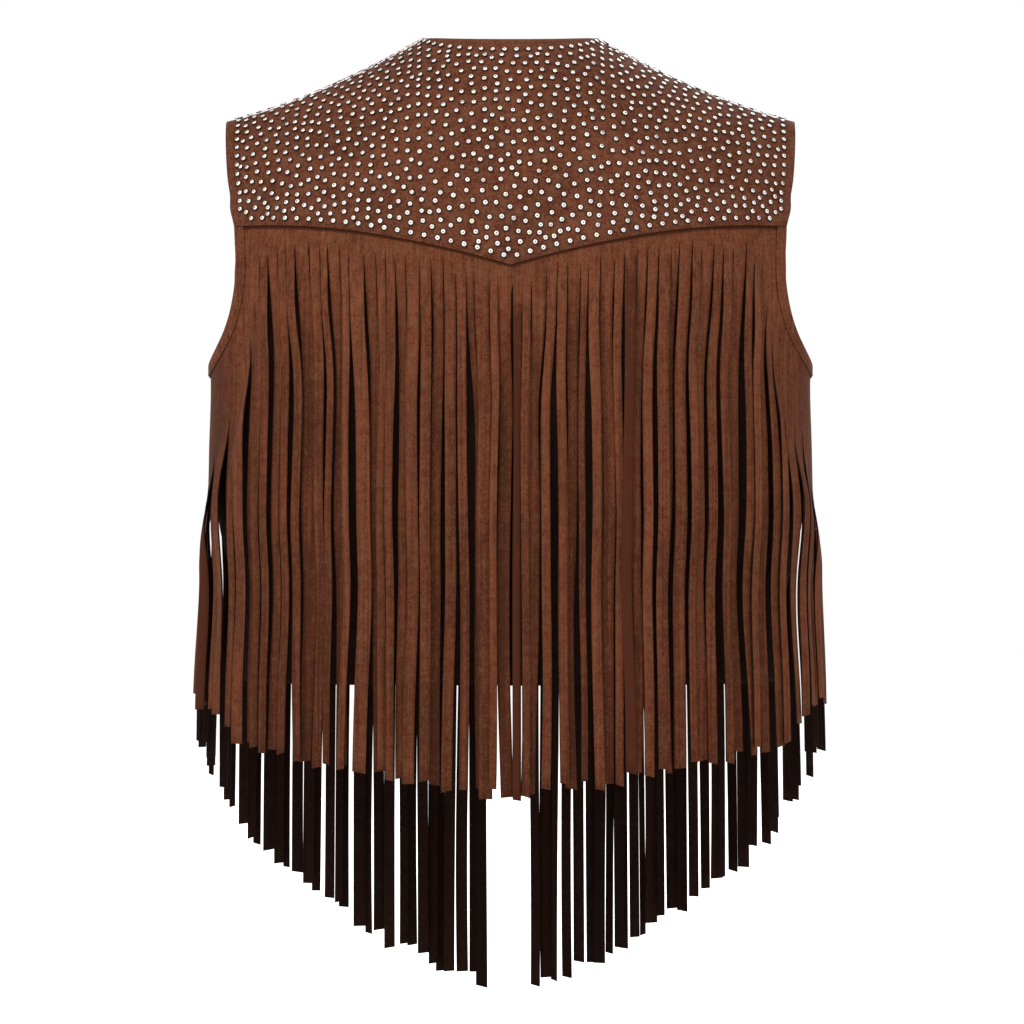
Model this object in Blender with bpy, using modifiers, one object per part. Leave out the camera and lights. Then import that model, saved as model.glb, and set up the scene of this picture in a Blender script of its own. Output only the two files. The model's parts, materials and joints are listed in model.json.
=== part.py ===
"""Western vest: a sleeveless suede top with studded yokes and long cut fringe, worn open at the front.

Metres, +Z up. The garment's front faces -Y, its back +Y, and +X is the wearer's left.
The origin lies midway between the undersides of the two shoulders, where the wearer holds the vest up.
"""

import math

import bpy
import numpy as np

OBJECT_NAME = "western_vest"

# Cloth
SUEDE = 0.0010  # wall of the body panels and of the fringe
YOKE_SUEDE = 0.0012  # wall of the yokes, which are lined up with a turned edge
SEAM_GAP = 0.0003
FRINGE_LIFT = 0.0021  # underside of the fringe's head above the inner face of the body panels
YOKE_LIFT = 0.0040  # underside of the yoke's hem above the same face, where it laps the fringe

# Heights of the cut
ARMPIT = -0.188
HEM = -0.397
SIDE_SEAM = math.pi / 2

# Rings of the body: inner face of the cloth, as a superellipse at each height
ROUNDNESS = 2.4
RINGS = np.array(
    # height, half width, back depth, front depth
    [
        (0.060, 0.2100, 0.100, 0.086),
        (-0.040, 0.2100, 0.106, 0.096),
        (-0.115, 0.2060, 0.110, 0.107),
        (-0.188, 0.2000, 0.108, 0.112),
        (-0.250, 0.1945, 0.101, 0.108),
        (-0.330, 0.1840, 0.091, 0.100),
        (-0.400, 0.1780, 0.086, 0.095),
    ]
)
# Rings that the fringe hangs through: it follows the body to the chest and then drops straight
HANG = np.array(
    # height, half width, back depth, front depth
    [
        (0.060, 0.2100, 0.100, 0.086),
        (-0.040, 0.2100, 0.106, 0.096),
        (-0.115, 0.2060, 0.110, 0.107),
        (-0.188, 0.2000, 0.109, 0.112),
        (-0.250, 0.1990, 0.108, 0.112),
        (-0.330, 0.2005, 0.107, 0.111),
        (-0.400, 0.2035, 0.107, 0.110),
        (-0.630, 0.2060, 0.109, 0.111),
    ]
)

# Shoulders: the ridge falls from the neck point to the shoulder tip, and the cloth rounds over it
NECK_HALF = 0.057
NECK_POINT = 0.030
NECK_CREST = 0.015  # how far the ridge would rise between the neck points
SHOULDER_FALL = 0.535
SHOULDER_EASE = 0.9
SHOULDER_TIP = 0.1895
CAP_HEIGHT = 0.130
CAP_ROUNDNESS = 1.8
SEAM_FORWARD = 0.17  # radians over the ridge, towards the front, where the shoulder seam lies
NECK_BACK = 0.57  # radians behind the ridge, where the neckline crosses the centre back

# Armhole edges: half width of the panel at each height
BACK_ARMHOLE = np.array(
    # height, half width
    [
        (0.000, 0.1900),
        (-0.025, 0.1890),
        (-0.081, 0.1840),
        (-0.115, 0.1792),
        (-0.144, 0.1812),
        (-0.166, 0.1885),
        (-0.188, 0.2000),
    ]
)
FRONT_ARMHOLE = np.array(
    # height, half width
    [
        (0.000, 0.1900),
        (-0.025, 0.1880),
        (-0.081, 0.1750),
        (-0.115, 0.1700),
        (-0.144, 0.1730),
        (-0.166, 0.1830),
        (-0.188, 0.2000),
    ]
)

NARROWEST = 3  # the row of both tables where the armhole cuts in furthest

# Yoke seams: level at the armhole, dipping to a point at the centre
SEAM_SIDE = -0.100
SEAM_REACH = 0.180
BACK_DIP = 0.0273
FRONT_DIP = 0.045

# Front opening: a V neckline down to the yoke seam, then straight edges a little apart
FRONT_EDGE = 0.014
FRONT_NECK_BOTTOM = -0.138

# Laps at the yoke seam, measured above it
BODY_LAP = 0.010
FRINGE_LAP = 0.007
YOKE_EASE = (0.0085, 0.024)  # where the yoke starts and ends settling from the lap down to the body's face

YOKE_ROWS = 1.0 - (1.0 - np.linspace(0.0, 1.0, 14)) ** 1.4  # closer together towards the hem

# Fringe
STRAND_PITCH = 0.0070
SLIT = 0.0006
HEAD_DEPTH = 0.010  # uncut cloth that shows below the yoke seam
LEAST_HEAD = 0.010
HEAD_ROWS = 3
STRAND_STOPS = np.array([0.08, 0.25, 0.48, 0.74, 1.0])
FIRST_LAYER = 0.0022  # how far the innermost strands swing clear of the head's own plane
LAYER_STEP = 0.0028
LAYER_ORDER = (0, 2, 1)
SWAY = 0.0012  # a strand's largest side-to-side wave
LEAN = 0.0020  # how far a strand's end drifts sideways
SLIT_JITTER = 0.0045  # how unevenly the slits start
# Neighbouring strands drift together, which opens dark channels between the groups
DRIFTS = (
    # strands from crest to crest, sideways travel, phase in turns
    (5.3, 0.0016, 0.10),
    (8.7, 0.0014, 0.45),
    (13.0, 0.0016, 0.80),
)
TWIST = 0.22  # radians
END_JITTER = 0.0035
STAND_RUN = 0.055  # length over which a strand swings out to its layer
LOOSE_RUN = (0.026, 0.095)  # below its root a strand is stiff, then free to sway
END_LEVEL = -0.43  # height at which a strand's half width picks its end from the tables
SEED = 11
# Uncut cloth beside the armhole: how far the slits start below their usual line
HEAD_DROP = np.array(
    # half width of the root, extra depth
    [(0.150, 0.000), (0.163, 0.012), (0.174, 0.055), (0.184, 0.110), (0.200, 0.130)]
)
BACK_ENDS = np.array(
    # half width, height of the cut ends
    [
        (0.000, -0.467),
        (0.055, -0.458),
        (0.094, -0.451),
        (0.136, -0.443),
        (0.170, -0.434),
        (0.184, -0.420),
        (0.205, -0.404),
    ]
)
FRONT_ENDS = np.array(
    # half width, height of the cut ends
    [
        (0.014, -0.613),
        (0.045, -0.603),
        (0.083, -0.583),
        (0.120, -0.555),
        (0.146, -0.536),
        (0.170, -0.510),
        (0.191, -0.470),
        (0.206, -0.418),
    ]
)

COLOURS = {
    # linear base colour, roughness
    "suede_yoke": ((0.130, 0.047, 0.022), 0.88),
    "suede_body": ((0.100, 0.036, 0.018), 0.90),
    "suede_fringe": ((0.152, 0.056, 0.027), 0.86),
}


def smooth_between(value, start, end):
    """0 before start, 1 after end, and an even S curve between."""
    share = np.clip((value - start) / (end - start), 0.0, 1.0)
    return share * share * (3.0 - 2.0 * share)


def from_table(table, column, height):
    """A column of a table of heights, read along a smooth curve through its rows."""
    rows = table[np.argsort(table[:, 0])]
    keys, values = rows[:, 0], rows[:, column]
    slopes = np.gradient(values, keys)
    height = np.clip(height, keys[0], keys[-1])
    index = np.clip(np.searchsorted(keys, height) - 1, 0, len(keys) - 2)
    span = keys[index + 1] - keys[index]
    t = (height - keys[index]) / span
    return (
        (2 * t**3 - 3 * t**2 + 1) * values[index]
        + (t**3 - 2 * t**2 + t) * span * slopes[index]
        + (3 * t**2 - 2 * t**3) * values[index + 1]
        + (t**3 - t**2) * span * slopes[index + 1]
    )


def signed_power(value, power):
    return np.sign(value) * np.abs(value) ** power


def ridge(x):
    """Height of the shoulder ridge at x, carried on across the neck as a low crest."""
    run = np.maximum(np.abs(x) - NECK_HALF, 0.0)
    inner = np.clip(np.abs(x) / NECK_HALF, 0.0, 1.0)
    return NECK_POINT - SHOULDER_FALL * run + SHOULDER_EASE * run**2 + NECK_CREST * (1.0 - inner**2)


def cap_share(x, height):
    """Share of the body's full depth at a height below the ridge, from 0 on it to 1 at CAP_HEIGHT."""
    below = np.clip((ridge(x) - height) / CAP_HEIGHT, 0.0, 1.0)
    return (1.0 - (1.0 - below) ** CAP_ROUNDNESS) ** (1.0 / CAP_ROUNDNESS)


def on_rings(rings, angle, height):
    """Point of the body at an angle round from the centre back and a height."""
    x = from_table(rings, 1, height) * signed_power(np.sin(angle), 2.0 / ROUNDNESS)
    depth = np.where(np.cos(angle) > 0.0, from_table(rings, 2, height), from_table(rings, 3, height))
    y = depth * signed_power(np.cos(angle), 2.0 / ROUNDNESS) * cap_share(x, height)
    return np.stack([x, y, height * np.ones_like(x)], axis=-1)


def unit(vectors):
    return vectors / np.linalg.norm(vectors, axis=-1, keepdims=True)


def around_and_out(rings, angle, height):
    """Unit vectors at a point of the body: along its ring, and outward from it."""
    step = 0.004
    along = unit(on_rings(rings, angle + step, height) - on_rings(rings, angle - step, height))
    up = unit(on_rings(rings, angle, height + step) - on_rings(rings, angle, height - step))
    return along, unit(np.cross(along, up)) * -1.0


def angle_at(rings, x, height):
    """Angle from the centre line at which the ring has the half width x."""
    share = np.clip(np.abs(x) / from_table(rings, 1, height), 0.0, 1.0)
    return np.arcsin(share ** (ROUNDNESS / 2.0))


def seam_height(x, front):
    dip = FRONT_DIP if front else BACK_DIP
    return SEAM_SIDE - dip * np.clip(1.0 - np.abs(x) / SEAM_REACH, 0.0, 1.0) ** 2


def armhole_half(height, front):
    return from_table(FRONT_ARMHOLE if front else BACK_ARMHOLE, 1, height)


def panel_side(height, front):
    """Angle from the centre line of a panel's outer edge: the armhole, and the side seam under it."""
    gap = SEAM_GAP / 2.0 / RINGS[3, 1]
    edge = angle_at(RINGS, armhole_half(np.maximum(height, ARMPIT), front), np.maximum(height, ARMPIT))
    return np.where(height >= ARMPIT, np.minimum(edge, SIDE_SEAM), SIDE_SEAM) - gap


def mesh_object(name, points, faces, thickness, material, collection):
    """An open surface, thickened outward."""
    mesh = bpy.data.meshes.new(name)
    mesh.from_pydata(points.tolist(), [], faces)
    mesh.update()
    mesh.shade_smooth()
    mesh.materials.append(material)
    piece = bpy.data.objects.new(name, mesh)
    collection.objects.link(piece)
    solidify = piece.modifiers.new("Cloth", "SOLIDIFY")
    solidify.thickness = thickness
    solidify.offset = 1.0
    solidify.use_even_offset = False
    return piece


def grid_faces(points, flip):
    """Triangles of a grid, each quad split along its shorter diagonal, wound so that they face outward."""
    rows, columns = points.shape[:2]
    faces = []
    for row in range(rows - 1):
        for column in range(columns - 1):
            a = row * columns + column
            b, c, d = a + 1, a + columns + 1, a + columns
            falling = np.linalg.norm(points[row, column] - points[row + 1, column + 1])
            rising = np.linalg.norm(points[row, column + 1] - points[row + 1, column])
            split = [(a, b, c), (a, c, d)] if falling < rising else [(a, b, d), (b, c, d)]
            faces += [face[::-1] for face in split] if flip else split
    return faces


def grid_out(points):
    """Outward unit vectors of a grid whose columns run round the body and whose rows run down it."""
    along = np.gradient(points, axis=1)
    down = np.gradient(points, axis=0)
    return unit(np.cross(down, along))


def facing_out(points, out):
    """Whether the grid's own turning direction already points away from the body."""
    away = points * np.array([1.0, 1.0, 0.0])
    return float((away * out).sum()) > 0.0


def over_shoulder(x, turn):
    """Point of the upper body at x, a turn in radians behind the shoulder ridge (below 0: in front of it).

    Past a quarter turn the path runs on down the body at the rate it had there.
    """
    size = np.abs(turn)
    rounded = np.minimum(size, math.pi / 2)
    kept = np.cos(rounded) ** (2.0 / CAP_ROUNDNESS)
    height = ridge(x) - CAP_HEIGHT * (1.0 - kept + (size - rounded))
    share = np.sin(rounded) ** (2.0 / CAP_ROUNDNESS)
    depth = np.where(turn > 0.0, from_table(RINGS, 2, height), from_table(RINGS, 3, height))
    width = np.clip(np.abs(x) / from_table(RINGS, 1, height), 0.0, 1.0)
    reach = depth * (1.0 - width**ROUNDNESS) ** (1.0 / ROUNDNESS)
    return np.stack([x, np.sign(turn) * reach * share, height], axis=-1)


def turn_at(x, height):
    """Turn behind the ridge at which the upper body reaches a height, the inverse of over_shoulder."""
    below = (ridge(x) - height) / CAP_HEIGHT
    rounded = np.arccos(np.clip(1.0 - below, 0.0, 1.0) ** (CAP_ROUNDNESS / 2.0))
    return np.where(below < 1.0, rounded, math.pi / 2 + below - 1.0)


def yoke_lift(points, front):
    """How far the yoke's underside stands off: over the fringe's head at its hem, on the body above."""
    above = points[..., 2] - seam_height(points[..., 0], front)
    return YOKE_LIFT * (1.0 - smooth_between(above, *YOKE_EASE))


def back_yoke(material, collection):
    """One grid from the neckline and shoulder seams down to the V seam."""
    neck = NECK_HALF / SHOULDER_TIP
    shoulder = neck + (1.0 - neck) * (1.0 - (1.0 - np.linspace(0.0, 1.0, 9)) ** 1.35)
    half = np.concatenate([neck * np.sin(np.linspace(0.0, math.pi / 2, 6)), shoulder[1:]])
    across = np.concatenate([-half[:0:-1], half])
    rows = YOKE_ROWS[:, None]
    top_x = across * SHOULDER_TIP
    dip = np.sqrt(np.clip(1.0 - (top_x / NECK_HALF) ** 2, 0.0, 1.0))
    top_turn = -SEAM_FORWARD + (NECK_BACK + SEAM_FORWARD) * dip
    x = across * np.full_like(rows, SHOULDER_TIP)
    for _ in range(6):
        bottom = turn_at(x[-1], seam_height(x[-1], False))
        points = over_shoulder(x, top_turn + (bottom - top_turn) * rows)
        x = across * armhole_half(points[..., 2], False)
    out = grid_out(points)
    flip = facing_out(points, out)
    out = out if flip else -out
    points = points + out * yoke_lift(points, False)[..., None]
    faces = grid_faces(points, flip)
    return mesh_object("back_yoke", points.reshape(-1, 3), faces, YOKE_SUEDE, material, collection)


def front_neck_half(height):
    """Half width of the V neckline: from the neck point to the front edge, bowed a little inward."""
    share = np.clip((NECK_POINT - height) / (NECK_POINT - FRONT_NECK_BOTTOM), 0.0, 1.0)
    return FRONT_EDGE + (NECK_HALF - FRONT_EDGE) * (1.0 - share) ** 1.15


def front_yoke(name, side, material, collection):
    """One grid from the shoulder seam to the front yoke seam, from the neckline to the armhole."""
    across = np.linspace(0.0, 1.0, 11)
    rows = YOKE_ROWS[:, None]
    start = SEAM_FORWARD + SEAM_GAP / CAP_HEIGHT * 3.0
    x = NECK_HALF + (SHOULDER_TIP - NECK_HALF) * across * np.ones_like(rows)
    for _ in range(8):
        bottom = turn_at(x[-1], seam_height(x[-1], True))
        points = over_shoulder(x, -(start + (bottom - start) * rows))
        inner = front_neck_half(points[..., 2])
        x = inner + (armhole_half(points[..., 2], True) - inner) * across
    points[..., 0] *= side
    out = grid_out(points)
    flip = facing_out(points, out)
    out = out if flip else -out
    points = points + out * yoke_lift(points, True)[..., None]
    faces = grid_faces(points, flip)
    return mesh_object(name, points.reshape(-1, 3), faces, YOKE_SUEDE, material, collection)


BODY_UPPER = np.array([0.0, 0.18, 0.37, 0.56, 0.74, 0.89, 0.975, 1.0])
BODY_LOWER = np.array([0.16, 0.36, 0.57, 0.78, 1.0])


def body_panel(name, columns, front, side, material, collection):
    """A plain panel from under the yoke seam to the hem; side 0 is the whole back."""
    across = np.linspace(-1.0 if side == 0 else 0.0, 1.0, columns)
    height = np.full((len(BODY_UPPER) + len(BODY_LOWER), columns), ARMPIT)
    for _ in range(6):
        edge = panel_side(height, front)
        if side == 0:
            angle = across * edge
        else:
            inner = angle_at(RINGS, FRONT_EDGE, height)
            angle = inner + (edge - inner) * across
        half = from_table(RINGS, 1, height[0]) * signed_power(np.sin(angle[0]), 2.0 / ROUNDNESS)
        top = seam_height(half, front) + BODY_LAP
        upper = top + (ARMPIT - top) * BODY_UPPER[:, None]
        lower = ARMPIT + (HEM - ARMPIT) * BODY_LOWER[:, None] * np.ones(columns)
        height = np.concatenate([upper, lower])
    turned = angle if side == 0 else side * (math.pi - angle)
    points = on_rings(RINGS, turned, height)
    flip = facing_out(points, grid_out(points))
    faces = grid_faces(points, flip)
    return mesh_object(name, points.reshape(-1, 3), faces, SUEDE, material, collection)


def even_angles(front, start, end):
    """Angles from the centre line, a strand's pitch apart along the ring at the armpit."""
    fine = np.linspace(start, end, 2000)
    turned = math.pi - fine if front else fine
    ring = on_rings(HANG, turned, np.full_like(fine, ARMPIT))
    length = np.concatenate([[0.0], np.cumsum(np.linalg.norm(np.diff(ring, axis=0), axis=1))])
    count = int(round(length[-1] / STRAND_PITCH))
    marks = np.linspace(0.0, length[-1], count + 1)
    return np.interp(marks, length, fine), length[-1] / count


def fringe(name, front, side, ends, seed, material, collection):
    """A head along the yoke seam and armhole, and strands that grow out of its lower edge.

    Each strand has two columns of points, which it shares with the head. Below its root it hangs on the
    rings of HANG, stands out by its layer, and sways, leans and twists by its own seeded amounts.
    """
    sway = np.random.default_rng(seed)
    gap = (SEAM_GAP + SLIT) / 2.0 / HANG[3, 1]
    if side == 0:
        outer, pitch = even_angles(front, 0.0, SIDE_SEAM - gap)
        marks = np.concatenate([-outer[:0:-1], outer])
    else:
        inner = float(angle_at(HANG, FRONT_EDGE, ARMPIT))
        marks, pitch = even_angles(front, inner, SIDE_SEAM - gap)
    count = len(marks) - 1
    slit = SLIT / pitch / 2.0
    shares = np.array([slit, 1.0 - slit])
    columns = (marks[:-1, None] + np.diff(marks)[:, None] * shares).reshape(-1)

    # The head: its top edge follows the seam, then the armhole; its lower edge is where the slits start.
    # Both sides of a slit take the heights of its own middle.
    size = np.abs(np.repeat(marks, 2)[1:-1])
    half = from_table(HANG, 1, SEAM_SIDE) * np.sin(size) ** (2.0 / ROUNDNESS)
    top = seam_height(half, front) + FRINGE_LAP
    narrowest = BACK_ARMHOLE[NARROWEST, 0]
    levels = np.linspace(narrowest, ARMPIT, 400)
    edge = panel_side(levels, front)
    top = np.where(size > edge[0], np.interp(size, edge, levels), top)
    slit_line = seam_height(half, front) - HEAD_DEPTH - np.interp(half, HEAD_DROP[:, 0], HEAD_DROP[:, 1])
    slit_line = slit_line + SLIT_JITTER * np.repeat(sway.uniform(-1.0, 1.0, count + 1), 2)[1:-1]
    slit_line = np.minimum(slit_line, top - LEAST_HEAD)
    rows = np.linspace(0.0, 1.0, HEAD_ROWS + 1)[:, None]
    height = top + (slit_line - top) * rows
    turned = columns * np.ones_like(rows)
    turned = side * (math.pi - turned) if side else turned
    along, out = around_and_out(HANG, turned, height)
    head = on_rings(HANG, turned, height) + out * FRINGE_LIFT
    facing = facing_out(head, grid_out(head))
    faces = grid_faces(head, facing)
    points = [head.reshape(-1, 3)]
    total = head.size // 3
    last_row = (len(rows) - 1) * len(columns)

    # The strands
    order = np.arange(count)
    drift = sum(travel * np.sin(2.0 * math.pi * (order / wave + phase)) for wave, travel, phase in DRIFTS)
    for i in range(count):
        layer = LAYER_ORDER[i % len(LAYER_ORDER)]
        pair = np.array([2 * i, 2 * i + 1])
        amount, phase, waves, lean, twist, jitter = sway.uniform(-1.0, 1.0, 6)
        middle = columns[pair].mean()
        reach = float(from_table(HANG, 1, END_LEVEL) * np.abs(np.sin(middle)) ** (2.0 / ROUNDNESS))
        end = np.interp(reach, ends[:, 0], ends[:, 1]) + END_JITTER * jitter
        stops = STRAND_STOPS[:, None]
        drop = slit_line[pair] + (end - slit_line[pair]) * stops
        angle = np.full_like(drop, middle)
        angle = side * (math.pi - angle) if side else angle
        along, out = around_and_out(HANG, angle, drop)
        fallen = slit_line[pair].mean() - drop.mean(axis=1, keepdims=True)
        loose = smooth_between(fallen, *LOOSE_RUN)
        stand = FRINGE_LIFT + (FIRST_LAYER + LAYER_STEP * layer) * smooth_between(fallen, 0.0, STAND_RUN)
        sideways = loose * (SWAY * amount * np.sin(math.pi * (2.2 + 0.6 * waves) * stops + math.pi * phase))
        sideways = sideways + loose * (LEAN * lean * stops + drift[i])
        roll = TWIST * twist * loose * np.sin(math.pi * (0.6 + 0.5 * waves) * stops + phase)
        edges = (pitch - SLIT) / 2.0 * np.array([-1.0, 1.0])
        if side:
            edges = edges * -side
        centre = on_rings(HANG, angle, drop) + out * stand[..., None] + along * sideways[..., None]
        strand = centre + along * (edges * np.cos(roll))[..., None] + out * (edges * np.sin(roll))[..., None]
        points.append(strand.reshape(-1, 3))
        left, right = last_row + pair[0], last_row + pair[1]
        for stop in range(len(STRAND_STOPS)):
            low = total + 2 * stop
            quad = (left, right, low + 1, low)
            faces.append(quad[::-1] if facing else quad)
            left, right = low, low + 1
        total += 2 * len(STRAND_STOPS)
    return mesh_object(name, np.concatenate(points), faces, SUEDE, material, collection)


def cloth_material(name):
    colour, roughness = COLOURS[name]
    material = bpy.data.materials.new(name)
    material.use_nodes = True
    shader = material.node_tree.nodes["Principled BSDF"]
    shader.inputs["Base Color"].default_value = (*colour, 1.0)
    shader.inputs["Roughness"].default_value = roughness
    shader.inputs["Metallic"].default_value = 0.0
    return material


def main():
    for old in list(bpy.data.objects):
        bpy.data.objects.remove(old, do_unlink=True)
    collection = bpy.data.collections.new(OBJECT_NAME)
    bpy.context.scene.collection.children.link(collection)
    yoke, body, strands = (cloth_material(name) for name in COLOURS)
    back_yoke(yoke, collection)
    body_panel("back_body", 27, False, 0, body, collection)
    fringe("back_fringe", False, 0, BACK_ENDS, SEED, strands, collection)
    for name, side in (("left", 1), ("right", -1)):
        front_yoke("front_yoke_" + name, side, yoke, collection)
        body_panel("front_body_" + name, 14, True, side, body, collection)
        fringe("front_fringe_" + name, True, side, FRONT_ENDS, SEED + 2 + side, strands, collection)


main()
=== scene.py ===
"""Western vest: the suede, fringe, stones and sewing of a sleeveless studded vest.

Metres, +Z up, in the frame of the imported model. The front faces -Y, the back +Y, +X is the wearer's left.
Every cloth piece follows the rings, shoulder caps and cut of its solid, worked out finer and set a few
millimetres closer to the photograph's outline. Where a side is given as a number, 1 is the wearer's left,
-1 the right and 0 both.
"""

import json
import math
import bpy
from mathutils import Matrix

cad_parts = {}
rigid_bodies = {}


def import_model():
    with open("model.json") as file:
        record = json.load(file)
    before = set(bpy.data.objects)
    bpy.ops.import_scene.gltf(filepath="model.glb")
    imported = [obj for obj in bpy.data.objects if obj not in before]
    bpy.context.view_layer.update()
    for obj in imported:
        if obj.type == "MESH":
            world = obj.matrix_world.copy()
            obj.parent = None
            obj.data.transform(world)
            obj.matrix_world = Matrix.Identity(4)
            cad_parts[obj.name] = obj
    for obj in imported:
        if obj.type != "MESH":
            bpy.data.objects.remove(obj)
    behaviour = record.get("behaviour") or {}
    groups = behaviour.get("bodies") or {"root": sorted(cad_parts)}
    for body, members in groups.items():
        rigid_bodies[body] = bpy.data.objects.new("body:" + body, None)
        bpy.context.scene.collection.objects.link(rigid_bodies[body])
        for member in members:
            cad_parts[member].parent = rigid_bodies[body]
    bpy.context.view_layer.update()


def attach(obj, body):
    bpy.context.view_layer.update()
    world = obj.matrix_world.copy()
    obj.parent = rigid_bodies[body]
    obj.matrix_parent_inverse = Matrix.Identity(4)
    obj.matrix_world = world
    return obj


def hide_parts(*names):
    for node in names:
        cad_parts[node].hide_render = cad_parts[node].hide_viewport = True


bl_info = {
    "name": "Western Vest",
    "version": (1, 0, 0),
    "blender": (4, 5, 0),
    "location": "View3D > Sidebar > Vest",
    "description": "Builds the suede, fringe, stones and sewing of a fringed western vest",
    "category": "Add Mesh",
}

import bpy
import numpy as np

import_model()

BODY = "root"
TAU = 2.0 * math.pi

# Cloth
SUEDE = 0.0010
YOKE_SUEDE = 0.0012
FRINGE_LIFT = 0.0021  # underside of the fringe's head above the inner face of the body panels
YOKE_LIFT = 0.0040  # underside of the yoke's hem above the same face
SEAM_GROOVE = 0.0006  # how deep the cloth dips into the shoulder seam
SEAM_SPREAD = 0.0016

# Turned and stitched edges: the yokes' own, and the band along the armhole of the fringe's head
FOLD_WIDTH = 0.0080
FOLD_HEIGHT = 0.0005
FOLD_EASE = 0.0016  # width of the step at the fold's inner edge
BAND_SINK = 0.0003  # how far the band's edges lie under the face of the head
EDGE_SEWING = 0.0064  # stitches, inside the edge
STITCH_GROOVE = 0.00025
STITCH_SPREAD = 0.0007

# Heights of the cut
ARMPIT = -0.188
HEM = -0.397
SIDE_SEAM = math.pi / 2

# Rings of the body and of the hanging fringe: a superellipse at each height
ROUNDNESS = 2.4
RINGS = np.array(
    # height, half width, back depth, front depth
    [
        (0.060, 0.2100, 0.100, 0.086),
        (-0.040, 0.2100, 0.106, 0.096),
        (-0.115, 0.2060, 0.110, 0.107),
        (-0.188, 0.1975, 0.108, 0.112),
        (-0.250, 0.1955, 0.101, 0.108),
        (-0.295, 0.1935, 0.096, 0.104),
        (-0.330, 0.1850, 0.091, 0.100),
        (-0.400, 0.1780, 0.086, 0.095),
    ]
)
HANG = np.array(
    # height, half width, back depth, front depth
    [
        (0.060, 0.2100, 0.100, 0.086),
        (-0.040, 0.2100, 0.106, 0.096),
        (-0.115, 0.2060, 0.110, 0.107),
        (-0.188, 0.1975, 0.109, 0.112),
        (-0.250, 0.1985, 0.108, 0.112),
        (-0.290, 0.1990, 0.108, 0.112),
        (-0.330, 0.1966, 0.107, 0.111),
        (-0.400, 0.1990, 0.107, 0.110),
        (-0.630, 0.2015, 0.109, 0.111),
    ]
)

# Shoulders
NECK_HALF = 0.0595
NECK_EASE = 0.004  # either side of the neck point, where the neckline becomes the shoulder seam
NECK_POINT = 0.0289
NECK_CREST = 0.0172
SHOULDER_FALL = 0.581
SHOULDER_EASE = 1.25
SHOULDER_TIP = 0.1895
CAP_HEIGHT = 0.130
CAP_ROUNDNESS = 1.8
SEAM_FORWARD = 0.17  # angle in front of the ridge at which the shoulder seam lies
NECK_BACK = 0.56  # angle behind it to which the back neckline dips
NECK_SQUARE = 0.38  # the lower, the squarer the corners of the back neckline

# Armhole edges
BACK_ARMHOLE = np.array(
    # height, half width
    [
        (0.000, 0.1900),
        (-0.025, 0.1890),
        (-0.081, 0.1834),
        (-0.115, 0.1772),
        (-0.144, 0.1787),
        (-0.166, 0.1852),
        (-0.188, 0.1975),
    ]
)
FRONT_ARMHOLE = np.array(
    # height, half width
    [
        (0.000, 0.1900),
        (-0.025, 0.1880),
        (-0.081, 0.1745),
        (-0.115, 0.1682),
        (-0.144, 0.1708),
        (-0.166, 0.1800),
        (-0.188, 0.1975),
    ]
)
NARROWEST = 3  # row where the armholes are narrowest, close under the yoke's corners

# Yoke seams, front opening and laps
SEAM_SIDE = -0.100
SEAM_REACH = 0.180
BACK_DIP = 0.0273
FRONT_DIP = 0.045
FRONT_EDGE = 0.014
FRONT_NECK_BOTTOM = -0.138
BODY_LAP = 0.010  # above the seam, under the yoke
FRINGE_LAP = 0.007
YOKE_EASE = (0.0085, 0.024)  # above the hem, where the yoke comes down from the fringe's head
CREASE_EASE = (0.012, 0.040)  # above the hem, where its creases set in
CORNER_DRAW = 0.0024  # how far the yoke's corners are drawn in
CORNER_REACH = (-0.002, 0.036)  # above the hem, where that ends

# Fringe: the slits and the uncut head
STRAND_PITCH = 0.0070
SLIT = (0.0006, 0.0002)  # back and fronts
SLIT_ROOT = 0.00015  # how wide a slit is where it starts
SLIT_RUN = 0.045
SLIT_JITTER = 0.0045
UNEVEN = 0.22  # how far a slit lies from its even place, in strands
HEAD_DEPTH = 0.010  # uncut cloth under the yoke's seam
LEAST_HEAD = 0.010
TOP_ROWS = (0.0, 0.0060, 0.0070, 0.0082, 0.0094)  # first rows of the head's grid, below its top edge
SEAM_ROWS = slice(2, 4)  # those of them that lie in the seam's shade
HEAD_DROP = np.array(
    # half width of the root, extra depth
    [(0.150, 0.000), (0.163, 0.012), (0.174, 0.055), (0.184, 0.110), (0.199, 0.125), (0.204, 0.155)]
)

# Fringe: how the strands hang. Runs are heights below the root
FIRST_LAYER = 0.0022  # how far the innermost strands swing clear of the head's own plane
LAYER_STEP = 0.0028
LAYER_ORDER = (0, 2, 1)
STAND_RUN = 0.055
LOOSE_RUN = (0.026, 0.095)
LOOSENESS = (1.0, 0.58)  # back and fronts: share of the sway, lean and drift
SWAY_WAVES = (2.2, 0.6)  # half waves down a strand, and how far they vary
TWIST_WAVES = (0.9, 0.6)
DRIFTS = (
    # strands from crest to crest, sideways travel, phase in turns
    (8.7, 0.0009, 0.45),
    (13.0, 0.0013, 0.80),
)
CLUMP_PULL = (0.16, 0.05)  # back and fronts: share of the way that a strand goes to its clump's middle
CLUMP_RUN = (0.022, 0.120)
STEADIED = 0.6  # share of a strand's sideways moves that is lost towards the side seam
STEADY_ANGLES = (1.00, 1.35)
SIDE_TURN = 0.55  # extra turn of the strands at the side, so that they face the back or the front
SIDE_TURN_VARIES = 0.6
SIDE_ANGLES = (1.05, 1.50)
END_LEVEL = -0.43  # height at which a strand's half width picks its end from the tables
END_JITTER = 0.0042
END_SLANT = 0.0018
STOP_SPREAD = 1.15  # above 1, the rows of a strand lie closer near its root
SEED = 11
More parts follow.
